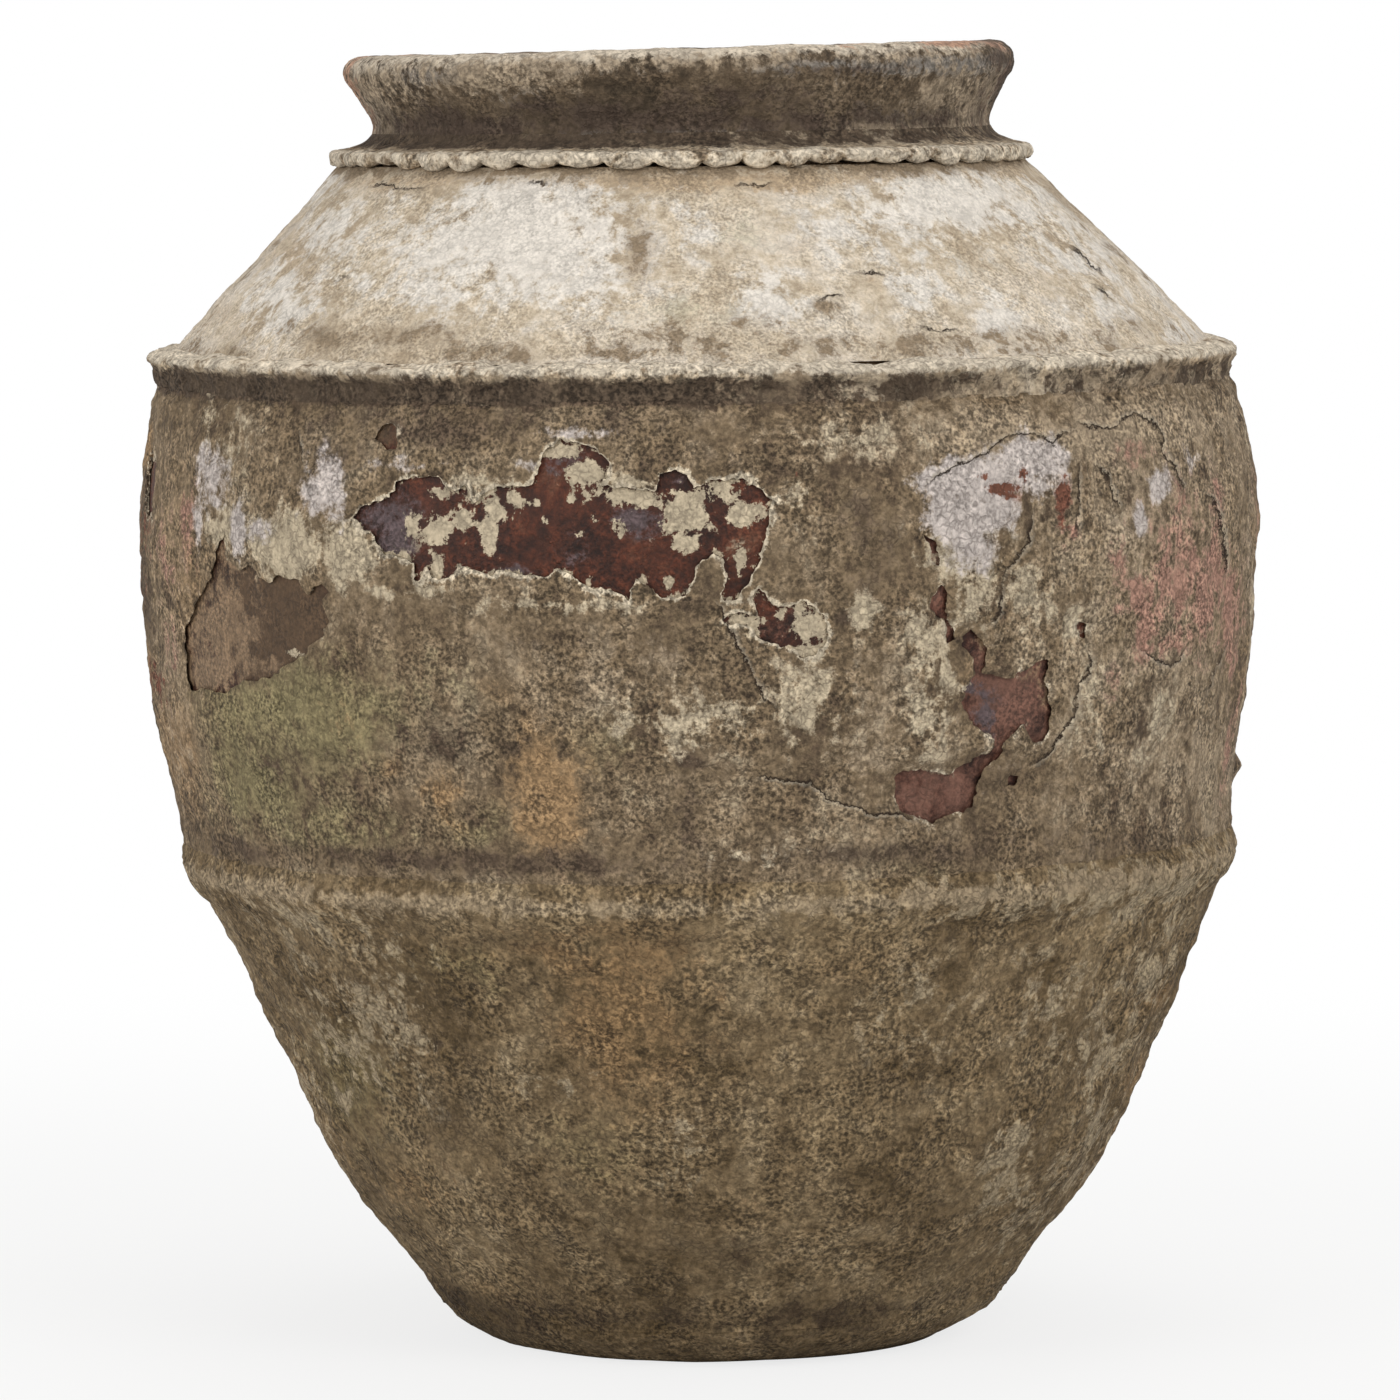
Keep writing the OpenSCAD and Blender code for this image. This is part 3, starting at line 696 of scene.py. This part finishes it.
        # The crack is painted as a dark line, the shade in it
        away = add(tree, "Attribute", out=2, attribute_name="crack")
        strong = add(tree, "Attribute", out=2, attribute_name="crack_strength")
        strong = add(tree, "Math", {0: strong, 1: between(mottle, 0.40, 0.50, 0.45, 1.0)},
                     operation="MULTIPLY")
        apart = add(tree, "Math", {0: clumps, 1: 12.0, 2: add(tree, "Math", {
            0: away, 1: -6.0})}, operation="MULTIPLY_ADD")
        line = between(add(tree, "Math", {0: apart}, operation="ABSOLUTE"), 0.25, 1.1,
                       1.0, 0.0)
        line = add(tree, "Math", {0: line, 1: strong}, operation="MULTIPLY")
        dark = add(tree, "Math", {0: dark, 1: line}, operation="MAXIMUM")
        # Painted highlight on the raised lip beside the crack.
        lip = add(tree, "Math", {0: between(apart, 1.0, 3.6, 0.4, 0.0),
                                 1: between(apart, 0.4, 1.0)}, operation="MULTIPLY")
        lip = add(tree, "Math", {0: lip, 1: strong}, operation="MULTIPLY")
        colour = mixed(lip, colour, paint("#d3c5ae"))
    # Painted shade: the pits, the crackle and the crack lines darken the colour, and also sink in the bump
    colour = mixed(dark, colour, paint("#2e2219"))
    height = add(tree, "Math", {0: dark, 1: -1.2, 2: height}, operation="MULTIPLY_ADD")
    height = add(tree, "Math", {
        0: add(tree, "Math", {0: sand, 1: sandy}, operation="MULTIPLY"),
        1: 2.4 * depth, 2: height}, operation="MULTIPLY_ADD")
    bumped = add(tree, "Bump", {"Strength": 1.0, "Distance": 0.001, "Height": height})
    surface = add(tree, "BsdfPrincipled", {"Base Color": colour, "Roughness": roughness,
                                           "Specular IOR Level": 0.25, "Normal": bumped})
    add(tree, "OutputMaterial", {"Surface": surface})
    return made


# Lime wash over sandy daub, brushed on and weathered outdoors: chalky and dry, with cream
# patches where it is whole and tan where the daub shows
lime_wash = crust(
    "lime_wash_weathered",
    [(0.42, "#a6957e"), (0.48, "#c0b19b"), (0.53, "#d0c3b1"), (0.60, "#ded5c8")],
    [("moss", "#b3a98f", 0.6, 0.3), ("rust", "#b09b80", 0.7, 0.25),
     # Its soot colour also paints the shadow under the frill
     ("lime", "#d7cfc4", 0.7, 0.24), ("soot_and_shade", "#8c7b65", 0.8, 0.22)],
    grain=2.2, depth=0.8, contrast=0.38, cracks=True, pitting=0.3)

DAUB_STAINS = [
    ("moss", "#877c5b", 0.5, 0.35), ("rust", "#977b5a", 0.6, 0.3),
    # soot also carries painted shade under the shoulder strap, and sunned painted light on the right side
    ("soot_and_shade", "#5a4b3d", 0.6, 0.25), ("sunned_and_lit", "#a08e76", 0.7, 0.35),
    ("lime", "#b5a68d", 0.8, 0.2), ("worn", "#a47f6e", 1.0, 0.3),
    ("bloom", "#bfb4ad", 0.5, 0.18), ("edge", "#c0b29b", 0.8, 0.14),
    ("chips", "#6f4839", 1.0, 0.1)]
# Sandy daub over the belly, rained on for decades: drab brown with olive growth, tan sand
# and cream lime left in patches
sandy_daub = crust(
    "sandy_daub_weathered",
    [(0.42, "#58493a"), (0.48, "#73624c"), (0.53, "#87755e"), (0.60, "#a3937a")],
    DAUB_STAINS, grain=2.8, depth=1.2, contrast=0.8, cracks=True, pitting=0.5)

EARTH_TONES = [(0.42, "#594932"), (0.48, "#726047"), (0.53, "#857256"), (0.60, "#a08d70")]
EARTH_STAINS = [
    ("moss", "#786c4b", 0.5, 0.35), ("rust", "#886e4e", 0.6, 0.3),
    ("soot_and_shade", "#4d3f2f", 0.6, 0.25), ("lime", "#9d8d73", 1.0, 0.2),
    ("crest", "#9a886e", 0.8, 0.3)]
# The same daub lower down, splashed with earth: browner and coarser
earthy_daub = crust("sandy_daub_earth_stained", EARTH_TONES, EARTH_STAINS, grain=3.2,
                    depth=1.6, contrast=0.82)
# The lower strap of pressed clay under the same splashed daub, rubbed pale on its crest
low_strap_clay = crust("pressed_clay_earth_stained", EARTH_TONES, EARTH_STAINS, grain=3.2,
                       depth=1.6, contrast=0.82)

# Hand-pressed clay strap and frill: crests dusted with lime, undersides crumbled, with painted shade under the
# strap
strap_clay = crust(
    "pressed_clay_lime_dusted",
    [(0.42, "#7d6c58"), (0.48, "#9b8a73"), (0.53, "#b3a38c"), (0.60, "#cbbda8")],
    [("rust", "#8c7355", 0.7, 0.3), ("lime", "#cabda9", 0.8, 0.25),
     ("soot_and_shade", "#54473a", 0.9, 0.25)],
    grain=3.4, depth=1.6, contrast=0.8, pitting=0.5, patch=60)

# Thrown collar and rolled rim, smoked and grown over by grey lichen, bleached on the edge
neck_clay = crust(
    "thrown_clay_lichened",
    [(0.42, "#493e31"), (0.48, "#5c4e3e"), (0.53, "#6f604e"), (0.60, "#8a7a65")],
    [("lichen", "#7c756d", 0.9, 0.2), ("lime", "#c0b3a0", 0.8, 0.25),
     ("dust", "#9a8a75", 0.8, 0.3), ("rust", "#a98670", 0.7, 0.2),
     ("soot_and_shade", "#51443a", 0.7, 0.3)],
    grain=3.0, depth=1.1, contrast=0.66)

# Bare fired clay, which shows inside the joints and under the coats
bare_clay = crust(
    "fired_clay_bare",
    [(0.42, "#4a3a2b"), (0.48, "#5f4b37"), (0.53, "#755d45"), (0.60, "#8c7358")],
    [], grain=3.0, depth=1.0, contrast=0.6)

# Dark red-brown slip, painted on and burnished before firing: a little shine where the coat
# kept it from the weather, dulled by salts, with flecks of lime still stuck to it
red_slip = crust(
    "burnished_red_slip",
    [(0.42, "#26130c"), (0.48, "#3d2015"), (0.53, "#50291a"), (0.60, "#66402e")],
    [("earth", "#54412f", 0.5, 0.3), ("dull", "#6e4d40", 0.6, 0.3),
     ("sand", "#816a52", 0.9, 0.25), ("haze", "#57494a", 1.1, 0.3),
     ("lime", "#b3a48b", 0.9, 0.07)],
    grain=2.6, depth=0.5, contrast=0.6, roughness=0.6, patch=40)


def poured_glaze():
    """Lead glaze poured inside and drained: olive-yellow glass, pooled darker, crazed."""
    made, tree = blank("poured_lead_glaze")
    spot = add(tree, "TexCoord", out=3)
    runs = add(tree, "TexNoise", {
        "Vector": add(tree, "Mapping", {"Vector": spot, "Scale": (1, 1, 0.12)}),
        "Scale": 1000 / 24, "Detail": 5, "Roughness": 0.6})
    colour = add(tree, "ValToRGB", {"Fac": runs}, stops=[
        (0.38, "#4c3416"), (0.48, "#75602a"), (0.55, "#8d7c3c"), (0.63, "#a39255")])
    # Crazing in cells about 6 mm across
    crazed = add(tree, "TexVoronoi", {"Vector": spot, "Scale": 1000 / 6},
                 feature="DISTANCE_TO_EDGE")
    line = add(tree, "MapRange", {0: crazed, 1: 0.02, 2: 0.07, 3: 0.55, 4: 0})
    colour = add(tree, "Mix", {0: line, 6: colour, 7: paint("#3a2a16")}, out=2,
                 data_type="RGBA")
    shine = add(tree, "MapRange", {0: runs, 1: 0.3, 2: 0.7, 3: 0.12, 4: 0.34})
    bumped = add(tree, "Bump", {"Strength": 0.5, "Distance": 0.001, "Height": runs})
    surface = add(tree, "BsdfPrincipled", {"Base Color": colour, "Roughness": shine,
                                           "IOR": 1.6, "Normal": bumped})
    add(tree, "OutputMaterial", {"Surface": surface})
    return made


# ------------------------------------------------------------------ the walls and the foot
def strip(line, low, high, rows, reverse=False):
    """Points of a smooth line between two heights, as (radius, height)."""
    heights = np.linspace(low, high, rows)
    points = list(zip(curve(line, heights), heights))
    return points[::-1] if reverse else points


foot = spun("foot_slab_clay", [
    (0, 0), (60, 0), (120, 0), (158, 0), (166, 0.6), (171, 2.4), (176, 4.8), (180, 7.2),
    (184, 9.8), (187.6, 12.3), (191, 14.8), (194, 17.2), (197, 19.8), (199.5, 22.2),
    (201.9, 24.7), (203.4, 27.3), (203.6, 29.9), (190, 29.9), (168, 29.9), (168, 38),
    (120, 38), (60, 38), (0, 38)], 360)
skin = Skin(foot)
skin.weathered(np.clip((skin.radius - 168) / 14, 0, 1) * (skin.height > 0.8)
               * np.clip(skin.radius - 190.5 + (29.5 - skin.height) * 5, 0, 1))
skin.put()
skin.stain(LOWER_STAINS, 60, 310, seed=5)
finish_piece(foot, "foot_slab", earthy_daub)

wall = spun("lower_wall_clay", (
    strip(CLAY, 30.3, 345, 56) + [(352, 345), (352, 355), (338.6, 355)]
    + strip(HOLLOW, 30.3, 345, 40, reverse=True)), 240)
finish_piece(wall, "lower_wall", bare_clay)

# The flakes are worked out first: the slip that shows in them keeps a margin of lime.
outlines = [(ragged(FLAKES[name], seed), 0.0, MARGINS[name])
            for seed, name in enumerate(FLAKES, 1)]
for seed, (facing, up, half_w, half_h) in enumerate(FAR_FLAKES, 40):
    rng = random.Random(seed)
    blob = [(half_w * math.cos(t) * rng.uniform(0.5, 1.2),
             up + half_h * math.sin(t) * rng.uniform(0.5, 1.2))
            for t in np.linspace(0, 2 * math.pi, 17)[:-1]]
    outlines.append((ragged(blob, seed, spacing=3, rag=4), math.radians(facing), 0.6))

belly = spun("belly_wall_slip", (
    strip(CLAY, 345.4, 395, 10) + strip(CLAY, 398, 682, 124) + strip(CLAY, 686, 700, 4)
    + [(363.5, 700), (363.5, 710), (346.3, 710)]
    + strip(HOLLOW, 356, 700, 16, reverse=True) + [(352.4, 355.6), (352.4, 345.4)]), 580)
skin = Skin(belly)
slip_side = np.clip(skin.radius - curve(CLAY, skin.height) + 1.5, 0, 1)
skin.radius += slip_side * (0.4 * skin.lumps(45) + 0.2 * skin.lumps(12) - 0.45)
skin.put()
skin.stain(SLIP_STAINS, 380, 680, seed=3)
away, margin = skin.from_edges(outlines)
skin.deepen("lime", 0.6 * margin * np.exp(-away / 2.2))
finish_piece(belly, "belly_wall", red_slip)

wall = spun("shoulder_wall_clay", (
    strip(SHOULDER, 700.4, 848, 40) + [(217.7, 848), (217.7, 858), (199.6, 858)]
    + strip(SHOULDER_HOLLOW, 710.5, 848, 24, reverse=True) + [(363.9, 710.5), (363.9, 700.4)]),
    240)
finish_piece(wall, "shoulder_wall", bare_clay)

floor_h = 38.4
glaze = spun("inner_glaze_coat", (
    [(0, floor_h), (90, floor_h)]
    + [(r - 0.4, h) for r, h in strip(HOLLOW, floor_h, 700, 60)]
    + [(r - 0.5, h) for r, h in strip(SHOULDER_HOLLOW, 710, 835.5, 20)]
    + [(r - 2.4, h) for r, h in strip(SHOULDER_HOLLOW, 710, 835.5, 20, reverse=True)]
    + [(r - 1.9, h) for r, h in strip(HOLLOW, floor_h + 1.6, 700, 60, reverse=True)]
    + [(90, floor_h + 1.6), (0, floor_h + 1.6)]), 200, crowd=0)
finish_piece(glaze, "inner_glaze", poured_glaze())

# ------------------------------------------------------------------ the coats
coat = spun("lower_coat_daub", coat_section(CLAY, 28.2, 325, 126, 14), 600)
skin = Skin(coat)
skin.weathered(outer_face(skin, CLAY))
skin.put()
skin.stain(LOWER_STAINS, 60, 310, seed=5)
finish_piece(coat, "lower_coat", earthy_daub)

coat = spun("belly_coat_daub", coat_section(CLAY, 359.5, 689.5, 130, 12), 600)
for outline, facing, _ in outlines:
    flake_off(coat, outline, facing)
skin = Skin(coat)
outside = outer_face(skin, CLAY)
edge, margin = skin.from_edges(outlines)
crack, strong = skin.cracked(BELLY_CRACKS)
groove = 3.0 * np.exp(-((skin.height - 689) / 8) ** 2)
# A lump of daub that sticks out on the right
knob = 6 * np.exp(-(((skin.angle - 1.54) * 390 / 9) ** 2 + ((skin.height - 404) / 8) ** 2))
thinned = 2.3 * np.exp(-edge / 7)
skin.weathered(outside * (1 - 0.8 * np.exp(-edge / 6)))
skin.radius += outside * (
    knob - groove - thinned
    + np.where(crack > 0, 0.9, -0.4) * np.exp(-np.abs(crack) / 6) * strong)
skin.put()
skin.stain(BELLY_STAINS, 390, 670, seed=6)
# Painted shade and dirt under the shoulder strap: darker up to the strap, less so towards the right
shade_under_strap = 0.95 * np.clip((skin.height - 682) / 7, 0, 1) * (
    1 - 0.45 * np.clip(np.sin(skin.angle) * 2, 0, 1))
skin.deepen("soot_and_shade", shade_under_strap)
skin.paint("edge", 0.95 * margin * np.exp(-edge / 2.6))
skin.paint("crack", crack)
skin.paint("crack_strength", strong)
finish_piece(coat, "belly_coat", sandy_daub, crease=45)

coat = spun("shoulder_coat_lime", coat_section(SHOULDER, 713.5, 844.4, 84, 10, SLOPE), 600)
skin = Skin(coat)
outside = outer_face(skin, SHOULDER, SLOPE)
crack, strong = skin.cracked(SHOULDER_CRACKS)
laid = 0.3 * np.sin(skin.height / 5.2 + 2 * skin.lumps(120, 1, shift=8))
skin.weathered(outside)
skin.radius += outside * (
    laid + np.where(crack > 0, 0.8, -0.4) * np.exp(-np.abs(crack) / 6) * strong)
skin.put()
skin.stain(SHOULDER_STAINS, 720, 835, seed=8)
# Painted shadow under the frill: the coat darkens up to the frill's edge
skin.deepen("soot_and_shade", 0.8 * np.clip((skin.height - 832) / 11, 0, 1))
skin.paint("crack", crack)
skin.paint("crack_strength", strong)
finish_piece(coat, "shoulder_coat", lime_wash, crease=45)

# ------------------------------------------------------------------ the straps
# The lower strap is a soft ledge that the belly flows into from above.
strap = spun("lower_strap_clay", (
    [(361, 322), (362.6, 319.6), (364.9, 322.6), (367.6, 326), (369.6, 328.4),
     (371.6, 330.8), (373.6, 333.2), (375.4, 335.7), (377, 338.3), (378.4, 341),
     (379.4, 343.8), (380, 346.7), (380.2, 349.7), (379.9, 352.6), (379.2, 355.4),
     (378.5, 358), (377.8, 360.2), (376.8, 362.6), (375.2, 364.8), (373.4, 363.6), (371.6, 360),
     (369.6, 354), (366.6, 346), (363.2, 336), (361, 328)]), 760)
skin = Skin(strap)
outside = np.clip((skin.radius - curve(CLAY, skin.height) - 2) / 2, 0, 1)
skin.weathered(outside)
skin.radius += outside * 0.7 * skin.lumps(18, 2, shift=33)
skin.put()
skin.stain(LOWER_STAINS, 60, 310, seed=5)
skin.paint("crest", 0.85 * np.exp(-((skin.height - 347) / 8) ** 2)
           * np.clip(0.8 + 0.5 * np.abs(np.sin(skin.angle)), 0, 1))
finish_piece(strap, "lower_strap", low_strap_clay)

# The shoulder strap has a sharp pale crest, and its underside has crumbled.
strap = spun("shoulder_strap_clay", (
    [(380.4, 686), (382.6, 685), (384, 688), (384.6, 690.6), (385, 693), (385.4, 695.6),
     (386, 698), (386.8, 700), (387.7, 702), (388.6, 704), (389.2, 706), (389.2, 708),
     (388.2, 710), (386.2, 711.7), (383.4, 713), (380, 713.9), (376.4, 714.5),
     (372.6, 714.8), (370, 714.2), (369.6, 711), (372, 706), (376.5, 700.6), (381, 700.3),
     (382, 694)]), 760)
skin = Skin(strap)
outside = np.clip((skin.radius - np.where(skin.height > 700.35, curve(SHOULDER, skin.height),
                                          curve(CLAY, skin.height)) - 1.6) / 2, 0, 1)
under = np.clip((708 - skin.height) / 8, 0, 1)
crumbled = skin.lumps(13, 3, shift=60)
skin.weathered(outside, deepest=-5)
skin.radius += outside * under * (1.6 * crumbled - 1.2)
skin.height += outside * (2.2 * skin.lumps(40, 2, shift=62) + 1.8 * skin.lumps(11, 2, shift=64))
skin.put()
pale = np.clip((skin.height - 702) / 7, 0, 1)
skin.paint("lime", 0.72 * pale)
# Painted shade on the strap's crumbled underside: dark below the crest, less so towards the right
skin.paint("soot_and_shade", np.clip((709 - skin.height) / 9, 0, 1)
           * (1.0 - 0.5 * np.clip(np.sin(skin.angle) * 2, 0, 1)))
skin.paint("rust", skin.dabs([(-372, 700, 30, 30, 0.5), (360, 700, 40, 30, 0.5)]))
finish_piece(strap, "shoulder_strap", strap_clay)

# ------------------------------------------------------------------ the frilled collar
FRILL_COUNT = 54
frill = spun("collar_frill_clay", [
    (241.5, 846.4), (245, 845.8), (248.4, 845.6), (250.6, 846.6), (251.7, 848.8),
    (251.9, 851.2), (251.3, 853.2), (249.6, 854.6), (247, 855.3), (243.6, 855.8),
    (240.2, 856.3), (236.9, 857), (233.8, 858), (231.1, 859.2), (228.6, 860.5),
    (226.4, 862), (224.6, 863.6), (223.1, 865.4), (221.7, 867.6), (220.8, 866.4),
    (222, 863), (224.8, 859.6), (228.8, 855), (232.8, 851.6), (235.6, 849),
    (238.4, 847.4)], 864, crowd=0)
skin = Skin(frill)
rng = random.Random(12)
drops = np.array([rng.uniform(0.55, 1.2) for _ in range(FRILL_COUNT)])
slips = np.array([rng.uniform(-0.22, 0.22) for _ in range(FRILL_COUNT)])
turn = ((skin.angle / (2 * math.pi) + 0.016 * skin.lumps(190, 1, shift=70))
        * FRILL_COUNT) % FRILL_COUNT
which = np.floor(turn).astype(int) % FRILL_COUNT
along = 2 * (turn - np.floor(turn)) - 1
# Each scallop hangs as a round lobe between two cusps.
lobe = np.sqrt(np.clip(1 - np.abs(along) ** 2.2, 0, 1)) * (drops[which] + slips[which] * along)
lip = np.clip((skin.radius - 238) / 8, 0, 1) * np.clip((854.5 - skin.height) / 7.5, 0, 1)
skin.height += lip * (4.0 - 6.6 * lobe)
skin.radius += np.clip((skin.radius - 245) / 4, 0, 1) * (0.5 * lobe - 0.3)
outside = np.clip((skin.radius - np.interp(skin.height, [844, 848, 856, 860, 864, 868],
                                           [247, 237, 228.4, 225.2, 222.4, 221]) - 0.4) / 1.2, 0, 1)
skin.weathered(outside, deepest=-1.6)
skin.height += outside * 0.9 * skin.lumps(13, 2, shift=3)
skin.put()
dusty = np.clip(np.sin(skin.angle + 0.1) * 1.6 + 0.15, 0, 1)
skin.paint("lime", np.clip((skin.radius - 236) / 12, 0, 1) * 0.66)
skin.paint("soot_and_shade", np.clip((239 - skin.radius) / 9, 0, 1) * (1.0 - 0.3 * dusty))
skin.paint("rust", skin.dabs([(-235, 850, 30, 20, 0.6), (-150, 850, 60, 20, 0.35)]))
finish_piece(frill, "collar_frill", strap_clay)

# The collar is a hollow cove outside and a straight throat inside.
COVE = [(848.4, 234.6), (853, 231), (858, 226.5), (863, 223), (868, 221.4), (874, 221.2),
        (880, 223.2), (886, 226.8), (892, 230.2), (896, 232.2), (899.95, 234)]
collar = spun("neck_collar_clay", (
    strip(COVE, 848.4, 899.95, 40) + [(225, 899.95), (210, 899.95), (200, 899.95)]
    + [(194.2, h) for h in (899.95, 890, 880, 872, 864.8)]
    + [(199.6, 858.5), (208, 858.5), (218.1, 858.5), (218.1, 852), (218.1, 848.4),
       (226, 848.4)]), 600)
skin = Skin(collar)
skin.weathered(np.clip((skin.radius - curve(COVE, skin.height) + 3) / 2, 0, 1))
skin.put()
NECK_STAINS = {
    "lichen": [(20, 862, 70, 9, 0.7), (-60, 866, 50, 6, 0.5), (150, 872, 50, 10, 0.5),
               (-170, 910, 40, 9, 0.75), (-60, 914, 60, 6, 0.4), (190, 908, 60, 8, 1),
               (110, 912, 50, 5, 0.8), (-120, 900, 30, 10, 0.5)],
    "lime": [(0, 924, 260, 7, 0.95), (-225, 918, 30, 9, 0.7), (-150, 919, 60, 5, 0.6)],
    "dust": [(-215, 905, 30, 14, 0.7), (-130, 908, 60, 12, 0.7), (210, 872, 40, 16, 0.9),
             (150, 864, 70, 10, 0.8), (200, 890, 50, 18, 0.7), (60, 862, 40, 6, 0.5), (230, 895, 20, 20, 0.6),
             (0, 916, 240, 5, 0.6)],
    "rust": [(195, 926, 30, 4, 1), (226, 923, 12, 5, 0.8), (110, 926, 20, 3, 0.5)],
    "soot_and_shade": [(0, 873, 300, 10, 0.66), (-50, 880, 90, 14, 0.75), (-150, 872, 60, 14, 0.8), (-96, 887, 16, 1.6, 1.3),
             (70, 886, 60, 9, 0.5), (228, 912, 14, 6, 0.8), (120, 908, 40, 3, 0.6),
             (30, 892, 60, 8, 0.5), (-200, 862, 30, 8, 0.7)],
}
skin.stain(NECK_STAINS, 860, 925, seed=9)
finish_piece(collar, "neck_collar", neck_clay)

rim = spun("rim_roll_clay", [
    (196.4, 900.05), (210, 900.05), (222, 900.05), (228, 900.05), (230.4, 896),
    (232.2, 895.2), (233.2, 897), (234, 899), (235, 900.9), (236.5, 902.5), (237.6, 904), (238.6, 905.8), (239.3, 907.8),
    (239.8, 910), (240, 912.4), (239.9, 914.6), (239.4, 916.8), (238.5, 918.8),
    (237.2, 920.6), (235.5, 922.2), (233.4, 923.5), (231, 924.4), (228, 925), (224.5, 925.3),
    (221, 925.3), (217, 925.1), (213, 925), (209, 924.8), (205.5, 924.2), (202.6, 923),
    (200, 921.2), (198, 918.4), (196.8, 915), (196.3, 911), (196.2, 905)], 760)
skin = Skin(rim)
worn = 1.0 * skin.lumps(60, 2, shift=9) + 0.7 * skin.lumps(15, 3, shift=11)
skin.weathered(np.clip((skin.radius - 229) / 3, 0, 1))
skin.height += np.clip((skin.height - 914) / 6, 0, 1) * worn
skin.put()
skin.stain(NECK_STAINS, 860, 925, seed=9)
finish_piece(rim, "rim_roll", neck_clay)

# ------------------------------------------------------------------ floor, light and world
bpy.ops.object.select_all(action="DESELECT")
bpy.ops.mesh.primitive_plane_add(size=30, location=(0, 0, -0.0005))
floor = bpy.context.object
floor.name = "studio_floor"
paper, tree = blank("pale_studio_paper")
matt = add(tree, "BsdfDiffuse", {"Color": paint("#ececea")})
bright = add(tree, "Emission", {"Color": (1, 1, 1, 1), "Strength": 1.0})
# The camera sees the paper lifted towards white, the more the farther it is from the jar,
# which keeps the jar's shadow on it.
spread = add(tree, "VectorMath", {0: add(tree, "TexCoord", out=3)}, out=1,
             operation="LENGTH")
lift = add(tree, "MapRange", {0: spread, 1: 0.5, 2: 2.2, 3: 0.78, 4: 1.0},
           interpolation_type="SMOOTHSTEP")
seen = add(tree, "Math", {0: add(tree, "LightPath"), 1: lift}, operation="MULTIPLY")
add(tree, "OutputMaterial", {"Surface": add(tree, "MixShader", {0: seen, 1: matt, 2: bright})})
floor.data.materials.append(paper)

world = bpy.data.worlds.new("studio")
bpy.context.scene.world = world
world.use_nodes = True
tree = world.node_tree
tree.nodes.clear()
path = tree.nodes.new("ShaderNodeLightPath")
shown = add(tree, "Math", {0: path.outputs["Is Camera Ray"],
                           1: path.outputs["Is Glossy Ray"]}, operation="MAXIMUM")
shown = add(tree, "Math", {0: shown, 1: path.outputs["Is Transmission Ray"]},
            operation="MAXIMUM")
room = add(tree, "Background", {"Color": (1, 1, 1, 1), "Strength": 0.52})
backdrop = add(tree, "Background", {"Color": (1, 1, 1, 1), "Strength": 1.0})
add(tree, "OutputWorld", {"Surface": add(tree, "MixShader", {0: shown, 1: room, 2: backdrop})})


def lamp(name, power, size, location, aim):
    """A soft square lamp aimed at a point."""
    data = bpy.data.lights.new(name, "AREA")
    data.energy, data.size = power, size
    shone = bpy.data.objects.new(name, data)
    shone.location = location
    shone.rotation_euler = (Vector(aim) - Vector(location)).to_track_quat("-Z", "Y").to_euler()
    bpy.context.scene.collection.objects.link(shone)


lamp("softbox_right", 84, 2.4, (2.6, -3.2, 3.0), (0, 0, 0.5))
lamp("softbox_left", 64, 2.4, (-3.2, -2.8, 1.9), (0, 0, 0.4))
lamp("softbox_top", 40, 2.6, (0.2, 0.6, 4.0), (0, 0, 0.7))

bpy.context.scene.view_settings.view_transform = "Standard"
